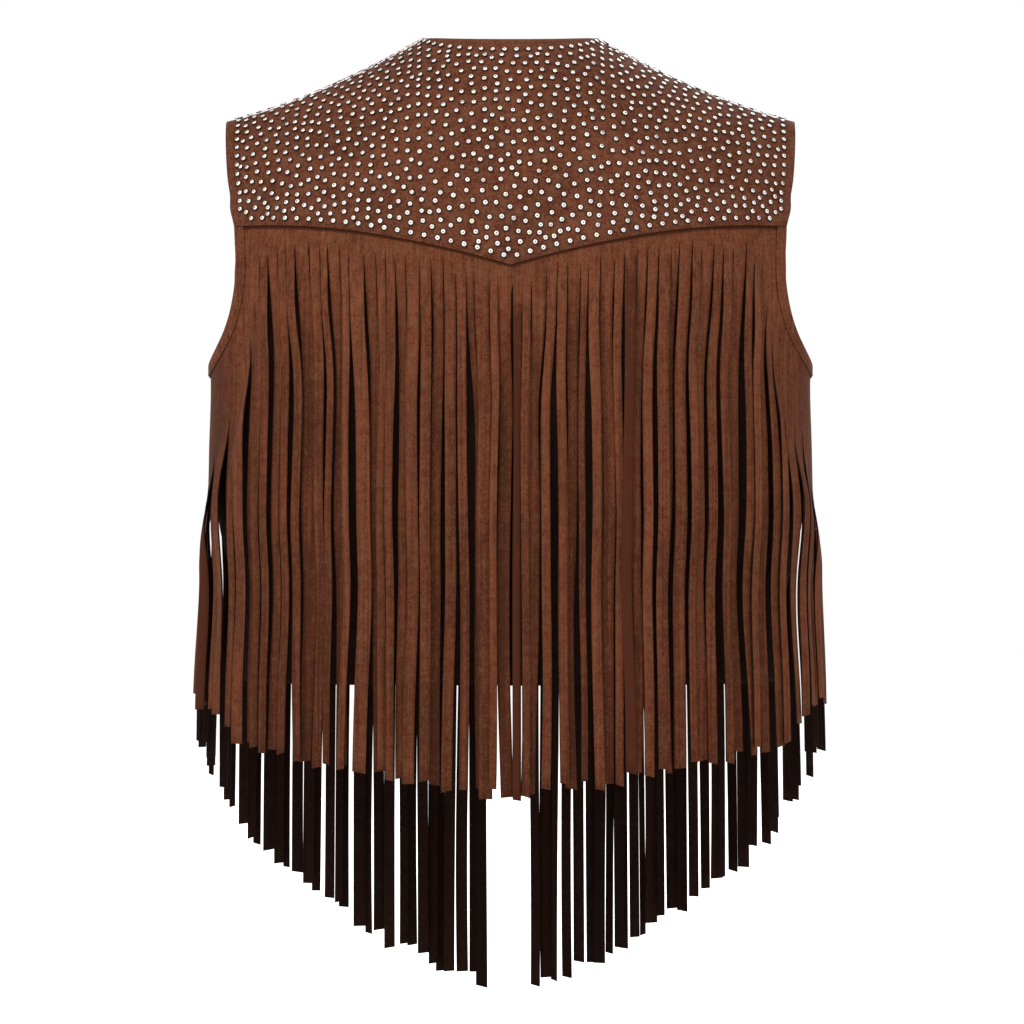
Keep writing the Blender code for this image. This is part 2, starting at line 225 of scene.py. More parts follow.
BACK_ENDS = np.array(
    # half width, height of the cut ends
    [
        (0.000, -0.467),
        (0.055, -0.458),
        (0.094, -0.451),
        (0.136, -0.443),
        (0.170, -0.434),
        (0.184, -0.420),
        (0.205, -0.404),
    ]
)
FRONT_ENDS = np.array(
    # half width, height of the cut ends
    [
        (0.014, -0.613),
        (0.045, -0.603),
        (0.083, -0.583),
        (0.120, -0.555),
        (0.146, -0.536),
        (0.170, -0.510),
        (0.191, -0.470),
        (0.206, -0.418),
    ]
)

# Fringe: tones that are added to the nap's own, darker below 0; all but the strands' own random tone are
# painted shade
SEAM_SHADE = -4.0
SIDE_SHADE = (-2.6, -1.3)  # of the head at the wearer's left side, and at the right
SIDE_SHADE_ANGLES = (0.92, 1.32)
SHADED = 0.86  # strands with a random draw above this lie in shade
SHADED_TONE = -3.0
OWN_TONE_RUN = (0.0, 0.030)
# Painted shade of the innermost layer, which hangs behind the others
INNER_SHADE = -0.4  # of the innermost layer
# Painted shade that darkens the strands towards their lower ends
LOW_SHADE = -1.1  # of the strands' lower ends
LOW_SHADE_RUN = (-0.02, 0.34)

# Soft troughs and ridges of the cloth, each along a line
YOKE_CREASES_BACK = np.array(
    # x, z of one end, x, z of the other, half width, height (a trough below 0)
    [
        (0.150, -0.060, 0.085, -0.020, 0.011, 0.0009),
        (-0.158, -0.052, -0.090, -0.028, 0.012, 0.0010),
        (0.120, -0.075, 0.060, -0.066, 0.014, -0.0008),
        (-0.125, -0.082, -0.050, -0.060, 0.013, -0.0007),
        (0.030, -0.020, 0.012, -0.078, 0.013, 0.0008),
        (-0.040, -0.030, -0.022, -0.088, 0.012, -0.0007),
    ]
)
YOKE_CREASES_FRONT = np.array(
    # x, z of one end, x, z of the other, half width, height (a trough below 0)
    [
        (0.148, -0.058, 0.090, -0.036, 0.011, 0.0010),
        (-0.152, -0.062, -0.084, -0.030, 0.012, 0.0009),
        (0.118, -0.078, 0.062, -0.074, 0.013, -0.0008),
        (-0.108, -0.070, -0.058, -0.080, 0.014, -0.0008),
    ]
)
BODY_CREASES = np.array(
    # x, z of one end, x, z of the other, half width, height (a trough below 0)
    [
        (0.150, -0.390, 0.128, -0.250, 0.016, -0.0030),
        (0.088, -0.395, 0.080, -0.300, 0.014, -0.0022),
        (0.030, -0.395, 0.038, -0.270, 0.018, -0.0030),
        (-0.045, -0.395, -0.036, -0.310, 0.013, -0.0022),
        (-0.100, -0.395, -0.092, -0.260, 0.017, -0.0032),
        (-0.160, -0.390, -0.140, -0.290, 0.014, -0.0026),
    ]
)

# Rows of stones along a yoke's edges
STONE_ROWS = (
    # edge, distance inside it, shares of its length where the row starts and ends, pitch
    ("from_hem", 0.0050, (0.03, 0.97), 0.0088),
    ("from_last", 0.0092, (0.04, 0.95), 0.0076),
    ("from_first", 0.0092, (0.04, 0.95), 0.0076),
    ("from_top", 0.0132, (0.16, 0.84), 0.0078),  # the back neckline
)
SEAM_SETBACK = 0.0052  # from the shoulder seam, which has no row, to the loose stones
ROW_SHARE = 0.5  # of a loose stone's ground that a stone in a row takes

# Loose stones
RELAX_STEPS = 36  # steps that even them out
PLACES = 4000  # how many places of a yoke are compared at a time
STRIP = 5  # grid rows in a strip

# One stone
STONE_SIDES = 8
STONE_PROFILE = np.array(
    # share of the radius, share of the height
    [(1.46, -0.10), (1.38, 0.20), (1.00, 0.32), (0.76, 0.78), (0.42, 1.0), (0.36, 0.98)]
)
BAND_FINISHES = (0, 0, 1, 1, 2)  # between its rings: setting, crown and table
STONE_UNEVEN = 0.05
STONE_TILT = 0.05
STONE_TINTS = np.array(
    # red, green, blue, share of the stones
    [
        (0.57, 0.49, 0.44, 0.40),
        (0.62, 0.54, 0.48, 0.18),
        (0.51, 0.48, 0.47, 0.14),
        (0.55, 0.43, 0.38, 0.10),
        (0.56, 0.50, 0.35, 0.06),
        (0.45, 0.50, 0.42, 0.06),
        (0.38, 0.33, 0.31, 0.06),
    ]
)

# Sewing
YOKE_SEWING = (
    # edge, distance inside it, shares of its length where the line starts and ends
    ("from_hem", 0.0016, (0.01, 0.99)),
    ("from_first", EDGE_SEWING, (0.01, 0.99)),
    ("from_last", EDGE_SEWING, (0.01, 0.99)),
    ("from_top", EDGE_SEWING, (0.16, 0.84)),
)
PANEL_HEM_SEWING = 0.0060
FRONT_EDGE_SEWING = ("from_first", 0.0050, (0.12, 0.99))
STITCH_RINGS = 5
STITCH_SIDES = 6

# Nap of the suede: scale of its noises, and the two hues that it wanders between, as factors of its colour
PATCHES = 24.0
CLOUDS = 190.0
PILE = 900.0
STREAKS = (560.0, 560.0, 9.0)
NAP_DEPTH = 0.0006
WARM = (1.11, 0.89, 0.84)
COOL = (0.92, 1.08, 1.12)

# Stage, with the camera behind the vest and level with its middle
CAMERA_PLACE = (-0.0010, 2.6, -0.285)
FRAME_WIDTH = 0.6827  # what the photograph's frame spans in the plane of the shoulders
SENSOR = 0.036
FLOOR_LEVEL = -0.640
FLOOR_WIDTH = 14.0
WHITE = (1.0, 1.0, 1.0, 1.0)
LAMPS = (
    # name, place, size, setting that holds its power
    ("key", (0.7, 1.7, 1.1), 2.0, "key_power"),
    ("back_fill", (-1.6, 1.9, 0.4), 1.8, "fill_power"),
    ("front_key", (-0.7, -1.7, 1.1), 2.0, "key_power"),
    ("front_fill", (1.6, -1.9, 0.4), 1.8, "fill_power"),
)


def number_setting(name, text, default, **extra):
    """A number with a name, a description and a default."""
    return bpy.props.FloatProperty(name=name, description=text, default=default, **extra)


def length_setting(name, text, default):
    return number_setting(name, text, default, unit="LENGTH")


def colour_setting(name, text, default):
    """A linear colour with a name, a description and a default."""
    return bpy.props.FloatVectorProperty(
        name=name, description=text, default=default, subtype="COLOR", size=3
    )


class VestCloth(bpy.types.PropertyGroup):
    """Sizes and colours of the suede."""

    yoke_colour: colour_setting("Yoke", "Face of the yoke suede", (0.0715, 0.0238, 0.0118))
    fringe_colour: colour_setting("Fringe", "Face of the fringe suede", (0.0742, 0.0236, 0.0104))
    # The fringe's flesh side is dark brown, and this colour is darker still as painted shade
    reverse_and_shade_colour: colour_setting("Reverse", "Flesh side of the fringe", (0.0104, 0.0037, 0.0019))
    # The body panels' face is near-black as painted shadow: it shows only in the shade between strands
    body_colour: colour_setting("Body", "Panels behind the fringe", (0.0100, 0.0040, 0.0025))
    inside_colour: colour_setting("Inside", "Flesh side of the yokes and panels", (0.0300, 0.0120, 0.0075))
    thread_colour: colour_setting("Thread", "Topstitching thread", (0.050, 0.018, 0.010))
    sway: length_setting("Sway", "Largest side-to-side wave of a strand", 0.0015)
    lean: length_setting("Lean", "Sideways drift of a strand's end", 0.0026)
    cup: length_setting("Cup", "How far a strand's edges curl", 0.0005)
    twist: number_setting("Twist", "Largest turn of a strand", 0.34, subtype="ANGLE")


class VestStones(bpy.types.PropertyGroup):
    """Sizes of the stones and of the sewing."""

    density: number_setting("Density", "Stones for each square metre of yoke", 17600.0)
    radius: length_setting("Radius", "Radius of a stone", 0.00144)
    height: length_setting("Height", "Height of a stone", 0.0007)
    stitch_pitch: length_setting("Stitch pitch", "From one stitch to the next", 0.0034)
    stitch_length: length_setting("Stitch length", "Visible length of one stitch", 0.0026)
    stitch_radius: length_setting("Thread radius", "Radius of the sewing thread", 0.00021)


class VestStage(bpy.types.PropertyGroup):
    """Floor, lights and white surroundings."""

    key_power: number_setting("Key", "Power of the key light", 56.0, unit="POWER")
    fill_power: number_setting("Fill", "Power of each fill light", 12.0, unit="POWER")
    sky: number_setting("Sky", "Strength of the even white surroundings", 1.0)


# Shapes


def smooth_between(value, start, end):
    """0 before start, 1 after end, 3t^2 - 2t^3 between."""
    share = np.clip((value - start) / (end - start), 0.0, 1.0)
    return share * share * (3.0 - 2.0 * share)


def from_table(table, column, height):
    """A column of a table of heights, read along the cubic Hermite curve through its rows."""
    rows = table[np.argsort(table[:, 0])]
    keys, values = rows[:, 0], rows[:, column]
    slopes = np.gradient(values, keys)
    height = np.clip(height, keys[0], keys[-1])
    index = np.clip(np.searchsorted(keys, height) - 1, 0, len(keys) - 2)
    span = keys[index + 1] - keys[index]
    t = (height - keys[index]) / span
    return (
        (2 * t**3 - 3 * t**2 + 1) * values[index]
        + (t**3 - 2 * t**2 + t) * span * slopes[index]
        + (3 * t**2 - 2 * t**3) * values[index + 1]
        + (t**3 - t**2) * span * slopes[index + 1]
    )


def signed_power(value, power):
    """|value|^power with the sign of value."""
    return np.sign(value) * np.abs(value) ** power


def unit(vectors):
    return vectors / np.maximum(np.linalg.norm(vectors, axis=-1, keepdims=True), 1e-12)


def ridge(x):
    """Height of the shoulder ridge at x: a falling parabola outside the neck, a low crest across it."""
    run = np.maximum(np.abs(x) - NECK_HALF, 0.0)
    inner = np.clip(np.abs(x) / NECK_HALF, 0.0, 1.0)
    return NECK_POINT - SHOULDER_FALL * run + SHOULDER_EASE * run**2 + NECK_CREST * (1.0 - inner**2)


def cap_share(x, height):
    """Share of the full depth under the ridge: (1 - (1 - t)^p)^(1/p), t the fall over CAP_HEIGHT."""
    below = np.clip((ridge(x) - height) / CAP_HEIGHT, 0.0, 1.0)
    return (1.0 - (1.0 - below) ** CAP_ROUNDNESS) ** (1.0 / CAP_ROUNDNESS)


def on_rings(rings, angle, height):
    """x = a sin^(2/n) angle, y = b cos^(2/n) angle times the cap's share, from the centre back round."""
    x = from_table(rings, 1, height) * signed_power(np.sin(angle), 2.0 / ROUNDNESS)
    depth = np.where(np.cos(angle) > 0.0, from_table(rings, 2, height), from_table(rings, 3, height))
    y = depth * signed_power(np.cos(angle), 2.0 / ROUNDNESS) * cap_share(x, height)
    return np.stack([x, y, height * np.ones_like(x)], axis=-1)


def around_and_out(rings, angle, height):
    """Unit vectors along the ring and out of it, from central differences."""
    step = 0.004
    along = unit(on_rings(rings, angle + step, height) - on_rings(rings, angle - step, height))
    up = unit(on_rings(rings, angle, height + step) - on_rings(rings, angle, height - step))
    return along, -unit(np.cross(along, up))


def angle_at(rings, x, height):
    """Angle from the centre line at which the ring has the half width x."""
    share = np.clip(np.abs(x) / from_table(rings, 1, height), 0.0, 1.0)
    return np.arcsin(share ** (ROUNDNESS / 2.0))


def about_vest(angle, side):
    """Angle from the centre back, for one from the centre line of the back or of the front at a side."""
    return side * (math.pi - angle) if side else angle


def seam_height(x, front):
    """The yoke's seam at x: its level at the side less a dip that grows to the middle as a square."""
    dip = FRONT_DIP if front else BACK_DIP
    return SEAM_SIDE - dip * np.clip(1.0 - np.abs(x) / SEAM_REACH, 0.0, 1.0) ** 2


def armhole_half(height, front):
    return from_table(FRONT_ARMHOLE if front else BACK_ARMHOLE, 1, height)


def panel_side(height, front):
    """Angle from the centre line of a panel's outer edge: the armhole, and the side seam under it."""
    level = np.clip(height, ARMPIT, BACK_ARMHOLE[NARROWEST, 0])
    edge = angle_at(RINGS, armhole_half(level, front), level)
    return np.where(height >= ARMPIT, np.minimum(edge, SIDE_SEAM), SIDE_SEAM)


def over_shoulder(x, turn):
    """Point of the upper body at x, a turn behind the ridge: a superellipse cap, then straight on down."""
    size = np.abs(turn)
    rounded = np.minimum(size, math.pi / 2)
    kept = np.cos(rounded) ** (2.0 / CAP_ROUNDNESS)
    height = ridge(x) - CAP_HEIGHT * (1.0 - kept + (size - rounded))
    share = np.sin(rounded) ** (2.0 / CAP_ROUNDNESS)
    depth = np.where(turn > 0.0, from_table(RINGS, 2, height), from_table(RINGS, 3, height))
    width = np.clip(np.abs(x) / from_table(RINGS, 1, height), 0.0, 1.0)
    reach = depth * (1.0 - width**ROUNDNESS) ** (1.0 / ROUNDNESS)
    return np.stack([x, np.sign(turn) * reach * share, height], axis=-1)


def turn_at(x, height):
    """Turn behind the ridge at which the upper body reaches a height, the inverse of over_shoulder."""
    below = (ridge(x) - height) / CAP_HEIGHT
    rounded = np.arccos(np.clip(1.0 - below, 0.0, 1.0) ** (CAP_ROUNDNESS / 2.0))
    return np.where(below < 1.0, rounded, math.pi / 2 + below - 1.0)


def yoke_half(x, height, front):
    """Half width of a yoke: the armhole, drawn in near the hem where the yoke stands off the fringe."""
    above = height - seam_height(x, front)
    return armhole_half(height, front) - CORNER_DRAW * (1.0 - smooth_between(above, *CORNER_REACH))


def front_neck_half(height):
    """Half width of the V neckline: from the neck point to the front edge, bowed a little inward."""
    share = np.clip((NECK_POINT - height) / (NECK_POINT - FRONT_NECK_BOTTOM), 0.0, 1.0)
    return FRONT_EDGE + (NECK_HALF - FRONT_EDGE) * (1.0 - share) ** 1.15


def creased(table, x, height):
    """Sum over the lines of a table: its height times exp(-(distance / width)^2), faded at both ends."""
    total = np.zeros_like(x)
    for x0, z0, x1, z1, width, rise in table:
        run = np.array([x1 - x0, z1 - z0])
        share = ((x - x0) * run[0] + (height - z0) * run[1]) / (run @ run)
        near = np.clip(share, 0.0, 1.0)
        away = np.hypot(x - x0 - near * run[0], height - z0 - near * run[1])
        total += rise * np.exp(-((away / width) ** 2)) * (0.35 + 0.65 * np.sin(math.pi * near))
    return total


# Grids


def grid_quads(index):
    """Quads of a grid of point numbers, each (a, right, right below, below)."""
    quads = np.stack([index[:-1, :-1], index[:-1, 1:], index[1:, 1:], index[1:, :-1]], axis=-1)
    return quads.reshape(-1, 4)


def grid_out(points):
    """Unit normals of a grid, turned so that most point away from the vest's upright axis."""
    out = unit(np.cross(np.gradient(points, axis=0), np.gradient(points, axis=1)))
    turned = float((points[..., :2] * out[..., :2]).sum()) > 0.0
    return (out if turned else -out), turned


def lengths_along(points, axis):
    """Running length of each grid line along an axis, from its start."""
    steps = np.linalg.norm(np.diff(points, axis=axis), axis=-1)
    start = np.zeros_like(np.take(steps, [0], axis=axis))
    return np.concatenate([start, np.cumsum(steps, axis=axis)], axis=axis)


class Cloth:
    """A grid of points on a panel's outer face, with its normals and the distance to each edge."""

    def __init__(self, base, out, thickness):
        self.base = base
        self.out = out
        self.face = base + out * thickness
        across = lengths_along(self.face, 1)
        down = lengths_along(self.face, 0)
        self.from_first = across
        self.from_last = across[:, -1:] - across
        self.from_top = down
        self.from_hem = down[-1:] - down

    def at(self, row, column):
        """Face points and normals at fractional rows and columns, from the four grid points around."""
        rows, columns = self.face.shape[:2]
        row = np.clip(row, 0, rows - 1.001)
        column = np.clip(column, 0, columns - 1.001)
        r, c = row.astype(int), column.astype(int)
        u, v = (row - r)[:, None], (column - c)[:, None]
        found = []
        for values in (self.face, self.out):
            upper = values[r, c] * (1 - v) + values[r, c + 1] * v
            lower = values[r + 1, c] * (1 - v) + values[r + 1, c + 1] * v
            found.append(upper * (1 - u) + lower * u)
        return found[0], unit(found[1])

    def line(self, edge, away, span=(0.0, 1.0)):
        """Face points and normals along the line at a distance from an edge, over a span of its length."""
        upright = edge in ("from_first", "from_last")
        distance = getattr(self, edge)
        table = distance if upright else distance.T
        first, last = (np.array(span) * (len(table) - 1)).round().astype(int)
        picked = np.arange(first, last + 1)
        falling = table[0, 0] > table[0, -1]
        size = table.shape[1]
        places = []
        for number in picked:
            values = table[number][::-1] if falling else table[number]
            place = np.interp(away, values, np.arange(size))
            places.append(size - 1 - place if falling else place)
        picked, places = picked.astype(float), np.array(places)
        return self.at(picked, places) if upright else self.at(places, picked)


def turned_edge(distance):
    """Relief of a folded and stitched edge: a step up over the fold and a groove along the stitches."""
    step = FOLD_HEIGHT * (1.0 - smooth_between(distance, FOLD_WIDTH - FOLD_EASE, FOLD_WIDTH))
    return step - STITCH_GROOVE * np.exp(-(((distance - EDGE_SEWING) / STITCH_SPREAD) ** 2))


def yoke_cloth(points, front, creases):
    """Cloth from a bare grid: it stands off over the fringe's head and takes creases and folded edges."""
    out, turned = grid_out(points)
    above = points[..., 2] - seam_height(points[..., 0], front)
    lift = YOKE_LIFT * (1.0 - smooth_between(above, *YOKE_EASE))
    rise = creased(creases, points[..., 0], points[..., 2]) * smooth_between(above, *CREASE_EASE)
    bare = Cloth(points, out, 0.0)
    relief = turned_edge(bare.from_first) + turned_edge(bare.from_last)
    shoulder = smooth_between(np.abs(points[..., 0]), NECK_HALF - NECK_EASE, NECK_HALF + NECK_EASE)
    relief = relief - SEAM_GROOVE * shoulder * np.exp(-((bare.from_top / SEAM_SPREAD) ** 2))
    return Cloth(points + out * (lift + rise + relief)[..., None], out, YOKE_SUEDE), turned


def back_yoke_cloth():
    """Rows of turns over the shoulder for each column of x, from neckline and shoulder seam to V seam."""
    neck = NECK_HALF / SHOULDER_TIP
    near = neck * np.sin(np.linspace(0.0, math.pi / 2, 26))
    half = np.concatenate([near, np.linspace(neck, 1.0, 66)[1:]])
    across = np.concatenate([-half[:0:-1], half])
    rows = np.linspace(0.0, 1.0, 111)[:, None]
    top_x = across * SHOULDER_TIP
    dip = np.clip(1.0 - (top_x / NECK_HALF) ** 2, 0.0, 1.0) ** NECK_SQUARE
    top = -SEAM_FORWARD + (NECK_BACK + SEAM_FORWARD) * dip
    x = across * np.full_like(rows, SHOULDER_TIP)
    for _ in range(6):
        bottom = turn_at(x[-1], seam_height(x[-1], False))
        points = over_shoulder(x, top + (bottom - top) * rows)
        x = across * yoke_half(x, points[..., 2], False)
    return yoke_cloth(points, False, YOKE_CREASES_BACK)


def front_yoke_cloth(side):
    """Rows of turns in front of the ridge, for columns from the V neckline to the armhole."""
    across = np.linspace(0.0, 1.0, 81)
    rows = np.linspace(0.0, 1.0, 111)[:, None]
    x = NECK_HALF + (SHOULDER_TIP - NECK_HALF) * across * np.ones_like(rows)
    for _ in range(8):
        bottom = turn_at(x[-1], seam_height(x[-1], True))
        points = over_shoulder(x, -(SEAM_FORWARD + (bottom - SEAM_FORWARD) * rows))
        inner = front_neck_half(points[..., 2])
        x = inner + (yoke_half(x, points[..., 2], True) - inner) * across
    points[..., 0] *= side
    return yoke_cloth(points, True, YOKE_CREASES_FRONT)


def body_cloth(columns, front, side):
    """Columns of even angles between a panel's edges, from under the yoke to the hem, with its creases."""
    upper_rows = np.linspace(0.0, 1.0, 34) ** 0.8
    lower_rows = np.linspace(0.0, 1.0, 46)[1:]
    across = np.linspace(-1.0 if side == 0 else 0.0, 1.0, columns)
    height = np.full((len(upper_rows) + len(lower_rows), columns), ARMPIT)
    for _ in range(6):
        edge = panel_side(height, front)
        if side == 0:
            angle = across * edge
        else:
            inner = angle_at(RINGS, FRONT_EDGE, height)
            angle = inner + (edge - inner) * across
        half = from_table(RINGS, 1, height[0]) * signed_power(np.sin(angle[0]), 2.0 / ROUNDNESS)
        top = seam_height(half, front) + BODY_LAP
        upper = top + (ARMPIT - top) * upper_rows[:, None]
        lower = ARMPIT + (HEM - ARMPIT) * lower_rows[:, None] * np.ones(columns)
        height = np.concatenate([upper, lower])
    points = on_rings(RINGS, about_vest(angle, side), height)
    out, turned = grid_out(points)
    rise = creased(BODY_CREASES, points[..., 0], points[..., 2])
    return Cloth(points + out * rise[..., None], out, SUEDE), turned


def running_length(line):
    """Running length at each point of a line."""
    return np.concatenate([[0.0], np.cumsum(np.linalg.norm(np.diff(line, axis=0), axis=1))])


def even_angles(front, start, end):
    """Angles from the centre line, a strand's pitch apart along the ring at the armpit."""
    fine = np.linspace(start, end, 2000)
    ring = on_rings(HANG, math.pi - fine if front else fine, np.full_like(fine, ARMPIT))
    length = running_length(ring)
    count = int(round(length[-1] / STRAND_PITCH))
    marks = np.linspace(0.0, length[-1], count + 1)
    return np.interp(marks, length, fine), length[-1] / count


def slit_angles(rng, front, side):
    """Angles of the slits, the width of each strand in even strands, and the even width."""
    if side == 0:
        outer, pitch = even_angles(front, 0.0, SIDE_SEAM)
        marks = np.concatenate([-outer[:0:-1], outer])
    else:
        inner = float(angle_at(HANG, FRONT_EDGE, ARMPIT))
        marks, pitch = even_angles(front, inner, SIDE_SEAM)
    even = np.diff(marks)
    marks[1:-1] += UNEVEN * even[1:] * rng.uniform(-1.0, 1.0, len(even) - 1)
    return marks, np.diff(marks) / even, pitch


def slit_heights(rng, marks, front):
    """At each slit the heights of the head's top edge and of the slit's start, and the corner's angle.

    The top edge lies under the yoke's seam and, beyond the corner, along the lower armhole.
    """
    size = np.abs(marks)
    half = from_table(HANG, 1, SEAM_SIDE) * np.sin(size) ** (2.0 / ROUNDNESS)
    levels = np.linspace(BACK_ARMHOLE[NARROWEST, 0], ARMPIT, 400)
    edge = panel_side(levels, front)
    top = np.where(size > edge[0], np.interp(size, edge, levels), seam_height(half, front) + FRINGE_LAP)
    start = seam_height(half, front) - HEAD_DEPTH - np.interp(half, HEAD_DROP[:, 0], HEAD_DROP[:, 1])
    start = np.minimum(start + SLIT_JITTER * rng.uniform(-1.0, 1.0, len(marks)), top - LEAST_HEAD)
    return top, start, edge[0]


def between_slits(values, share):
    """Values at the slits, read at shares of the way from each slit to the next."""
    return values[:-1, None] + np.diff(values)[:, None] * share


def clumped(rng, count):
    """For each strand, how far it hangs from the middle of its clump of one to four, in strands."""
    offsets = []
    while len(offsets) < count:
        size = rng.choice([1, 2, 3, 4], p=[0.20, 0.32, 0.30, 0.18])
        offsets.extend((np.arange(size) - (size - 1) / 2.0) * rng.uniform(0.6, 1.4))
    return np.array(offsets[:count])


class Fringe:
    """The points, faces and tones of one fringe: a head grid, and under it a grid for each strand."""

    ACROSS = 5
    HEAD_ROWS = 16
    STOPS = 34

    def __init__(self, front, side, ends, seed, cloth):
        rng = np.random.default_rng(seed)
        self.front, self.side, self.ends, self.cloth = front, side, ends, cloth
        marks, self.widths, self.pitch = slit_angles(rng, front, side)
        top, start, corner = slit_heights(rng, marks, front)
        self.count = len(self.widths)
        self.across = np.linspace(0.0, 1.0, self.ACROSS)
        inset = SLIT_ROOT / self.pitch / 2.0
        self.angles = between_slits(marks, inset + (1.0 - 2.0 * inset) * self.across)
        self.starts = between_slits(start, self.across)
        tops = between_slits(top, self.across)

        head, head_shade = self.make_head(marks, tops, corner)
        strands, tone, lowest = self.make_strands(rng, head_shade[-1].mean(axis=1)[:, None, None])
        index = np.arange(self.HEAD_ROWS * self.count * self.ACROSS).reshape(self.HEAD_ROWS, -1)
        roots = index[-1].reshape(self.count, 1, self.ACROSS)
        hung = index.size + np.arange(strands.size // 3).reshape(strands.shape[:3])
        hung = np.concatenate([roots, hung], axis=1)
        quads = np.stack([hung[:, :-1, :-1], hung[:, :-1, 1:], hung[:, 1:, 1:], hung[:, 1:, :-1]], axis=-1)
        self.points = np.concatenate([head.reshape(-1, 3), strands.reshape(-1, 3)])
        self.faces = np.concatenate([grid_quads(index), quads.reshape(-1, 4)])
        self.tone = np.concatenate([head_shade.reshape(-1), tone.reshape(-1)])
        self.turned = grid_out(head.reshape(self.HEAD_ROWS, -1, 3))[1]
        self.wide = self.count * self.pitch
        self.longest = float(tops.max() - lowest)

    def make_head(self, marks, tops, corner):
        """Points and tones of the head, row by row from its top edge to the starts of the slits.

        The tone is painted shade: dark in the yoke's shade and towards the side seam, more so at the
        wearer's left.
        """
        rows = np.linspace(0.0, 1.0, self.HEAD_ROWS - len(TOP_ROWS) + 1)[1:, None, None]
        lower = tops - TOP_ROWS[-1] + (self.starts - tops + TOP_ROWS[-1]) * rows
        height = np.concatenate([tops - np.array(TOP_ROWS)[:, None, None], lower])
        angles = self.angles.copy()
        angles[-1, -1] = marks[-1]
        if self.side == 0:
            angles[0, 0] = marks[0]
        turned = about_vest(angles + 0.0 * height, self.side)
        _, out = around_and_out(HANG, turned, height)
        at_left = (self.side == 1) | ((self.side == 0) & (angles > 0.0))
        tone = np.where(at_left, *SIDE_SHADE) * smooth_between(np.abs(angles), *SIDE_SHADE_ANGLES)
        tone = tone + 0.0 * height
        tone[SEAM_ROWS] += SEAM_SHADE * (np.abs(angles) < corner)
        return on_rings(HANG, turned, height) + out * FRINGE_LIFT, tone

    def make_strands(self, rng, root_shade):
        """Points and tones of the strands, by strand, stop and place across, and the lowest end's height.

        A strand hangs on the rings from its root and stands out by its layer. It gathers with its clump,
        sways, leans, drifts, twists and cups by seeded amounts of its own, less so towards the side seam.
        """
        pull = clumped(rng, self.count)[:, None, None] * self.pitch * -CLUMP_PULL[self.front]
        draws = rng.uniform(-1.0, 1.0, (self.count, 10))[:, :, None, None]
        sway, phase, waves, lean, twist, jitter, slant, cup, tone, flick = (draws[:, i] for i in range(10))
        order = np.arange(self.count)[:, None, None]
        layer = np.array(LAYER_ORDER)[order % len(LAYER_ORDER)]
        turned_way = -self.side if self.side else 1
        cloth, across = self.cloth, self.across

        # Heights down to the cut end, and the fall below the root
        stops = (np.linspace(0.0, 1.0, self.STOPS + 1)[1:] ** STOP_SPREAD)[None, :, None]
        middle = self.angles.mean(axis=1)[:, None, None]
        reach = from_table(HANG, 1, END_LEVEL) * np.abs(np.sin(middle)) ** (2.0 / ROUNDNESS)
        end = np.interp(reach, self.ends[:, 0], self.ends[:, 1]) + END_JITTER * jitter
        end = end + END_SLANT * slant * (across - 0.5)
        height = self.starts[:, None, :] + (end - self.starts[:, None, :]) * stops
        fallen = self.starts.mean(axis=1)[:, None, None] - height.mean(axis=2, keepdims=True)
        loose = smooth_between(fallen, *LOOSE_RUN)

        # How far the middle of a strand hangs out and sideways
        stand = FRINGE_LIFT + (FIRST_LAYER + LAYER_STEP * layer) * smooth_between(fallen, 0.0, STAND_RUN)
        wave = np.sin(math.pi * (SWAY_WAVES[0] + SWAY_WAVES[1] * waves) * stops + math.pi * phase)
        drift = sum(travel * np.sin(TAU * (order / crest + shift)) for crest, travel, shift in DRIFTS)
        inward = 1.0 - STEADIED * smooth_between(np.abs(middle), *STEADY_ANGLES)
        gather = turned_way * pull * inward * smooth_between(fallen, *CLUMP_RUN)
        stray = cloth.sway * sway * wave + cloth.lean * lean * stops + drift
        sideways = loose * LOOSENESS[self.front] * stray * inward + gather

        # How it twists and cups, and its width across
        turns = np.sin(math.pi * (TWIST_WAVES[0] + TWIST_WAVES[1] * waves) * stops + math.pi * flick)
        to_side = smooth_between(np.abs(middle), *SIDE_ANGLES) * np.sign(middle if self.side == 0 else 1.0)
        roll = cloth.twist * twist * loose * turns
        roll = roll + SIDE_TURN * (1.0 + SIDE_TURN_VARIES * flick) * to_side * loose * turned_way
        curl = cloth.cup * cup * loose * (1.0 - (2.0 * across - 1.0) ** 2)
        slit = SLIT_ROOT + (SLIT[self.front] - SLIT_ROOT) * smooth_between(fallen, 0.0, SLIT_RUN)
        edges = (self.pitch * self.widths[:, None, None] - slit) * (across - 0.5) * turned_way

        angle = about_vest(middle * np.ones_like(height), self.side)
        along, out = around_and_out(HANG, angle, height)
        points = on_rings(HANG, angle, height) + out * stand[..., None] + along * sideways[..., None]
        points = points + along * (edges * np.cos(roll) - curl * np.sin(roll))[..., None]
        points = points + out * (edges * np.sin(roll) + curl * np.cos(roll))[..., None]

        # The strand's own random tone, painted shade for the strands that lie in shade, painted shade on
        # the innermost layer and towards the lower ends, and near the root the head's painted shade
        own = np.where(tone > SHADED, SHADED_TONE, tone) * smooth_between(fallen, *OWN_TONE_RUN)
        hung_tone_and_shade = own + INNER_SHADE * (layer == 0) * loose + LOW_SHADE * smooth_between(fallen, *LOW_SHADE_RUN)
        hung_tone_and_shade = hung_tone_and_shade + root_shade * (1.0 - loose) + 0.0 * height
        return points, hung_tone_and_shade, end.min()


# Meshes


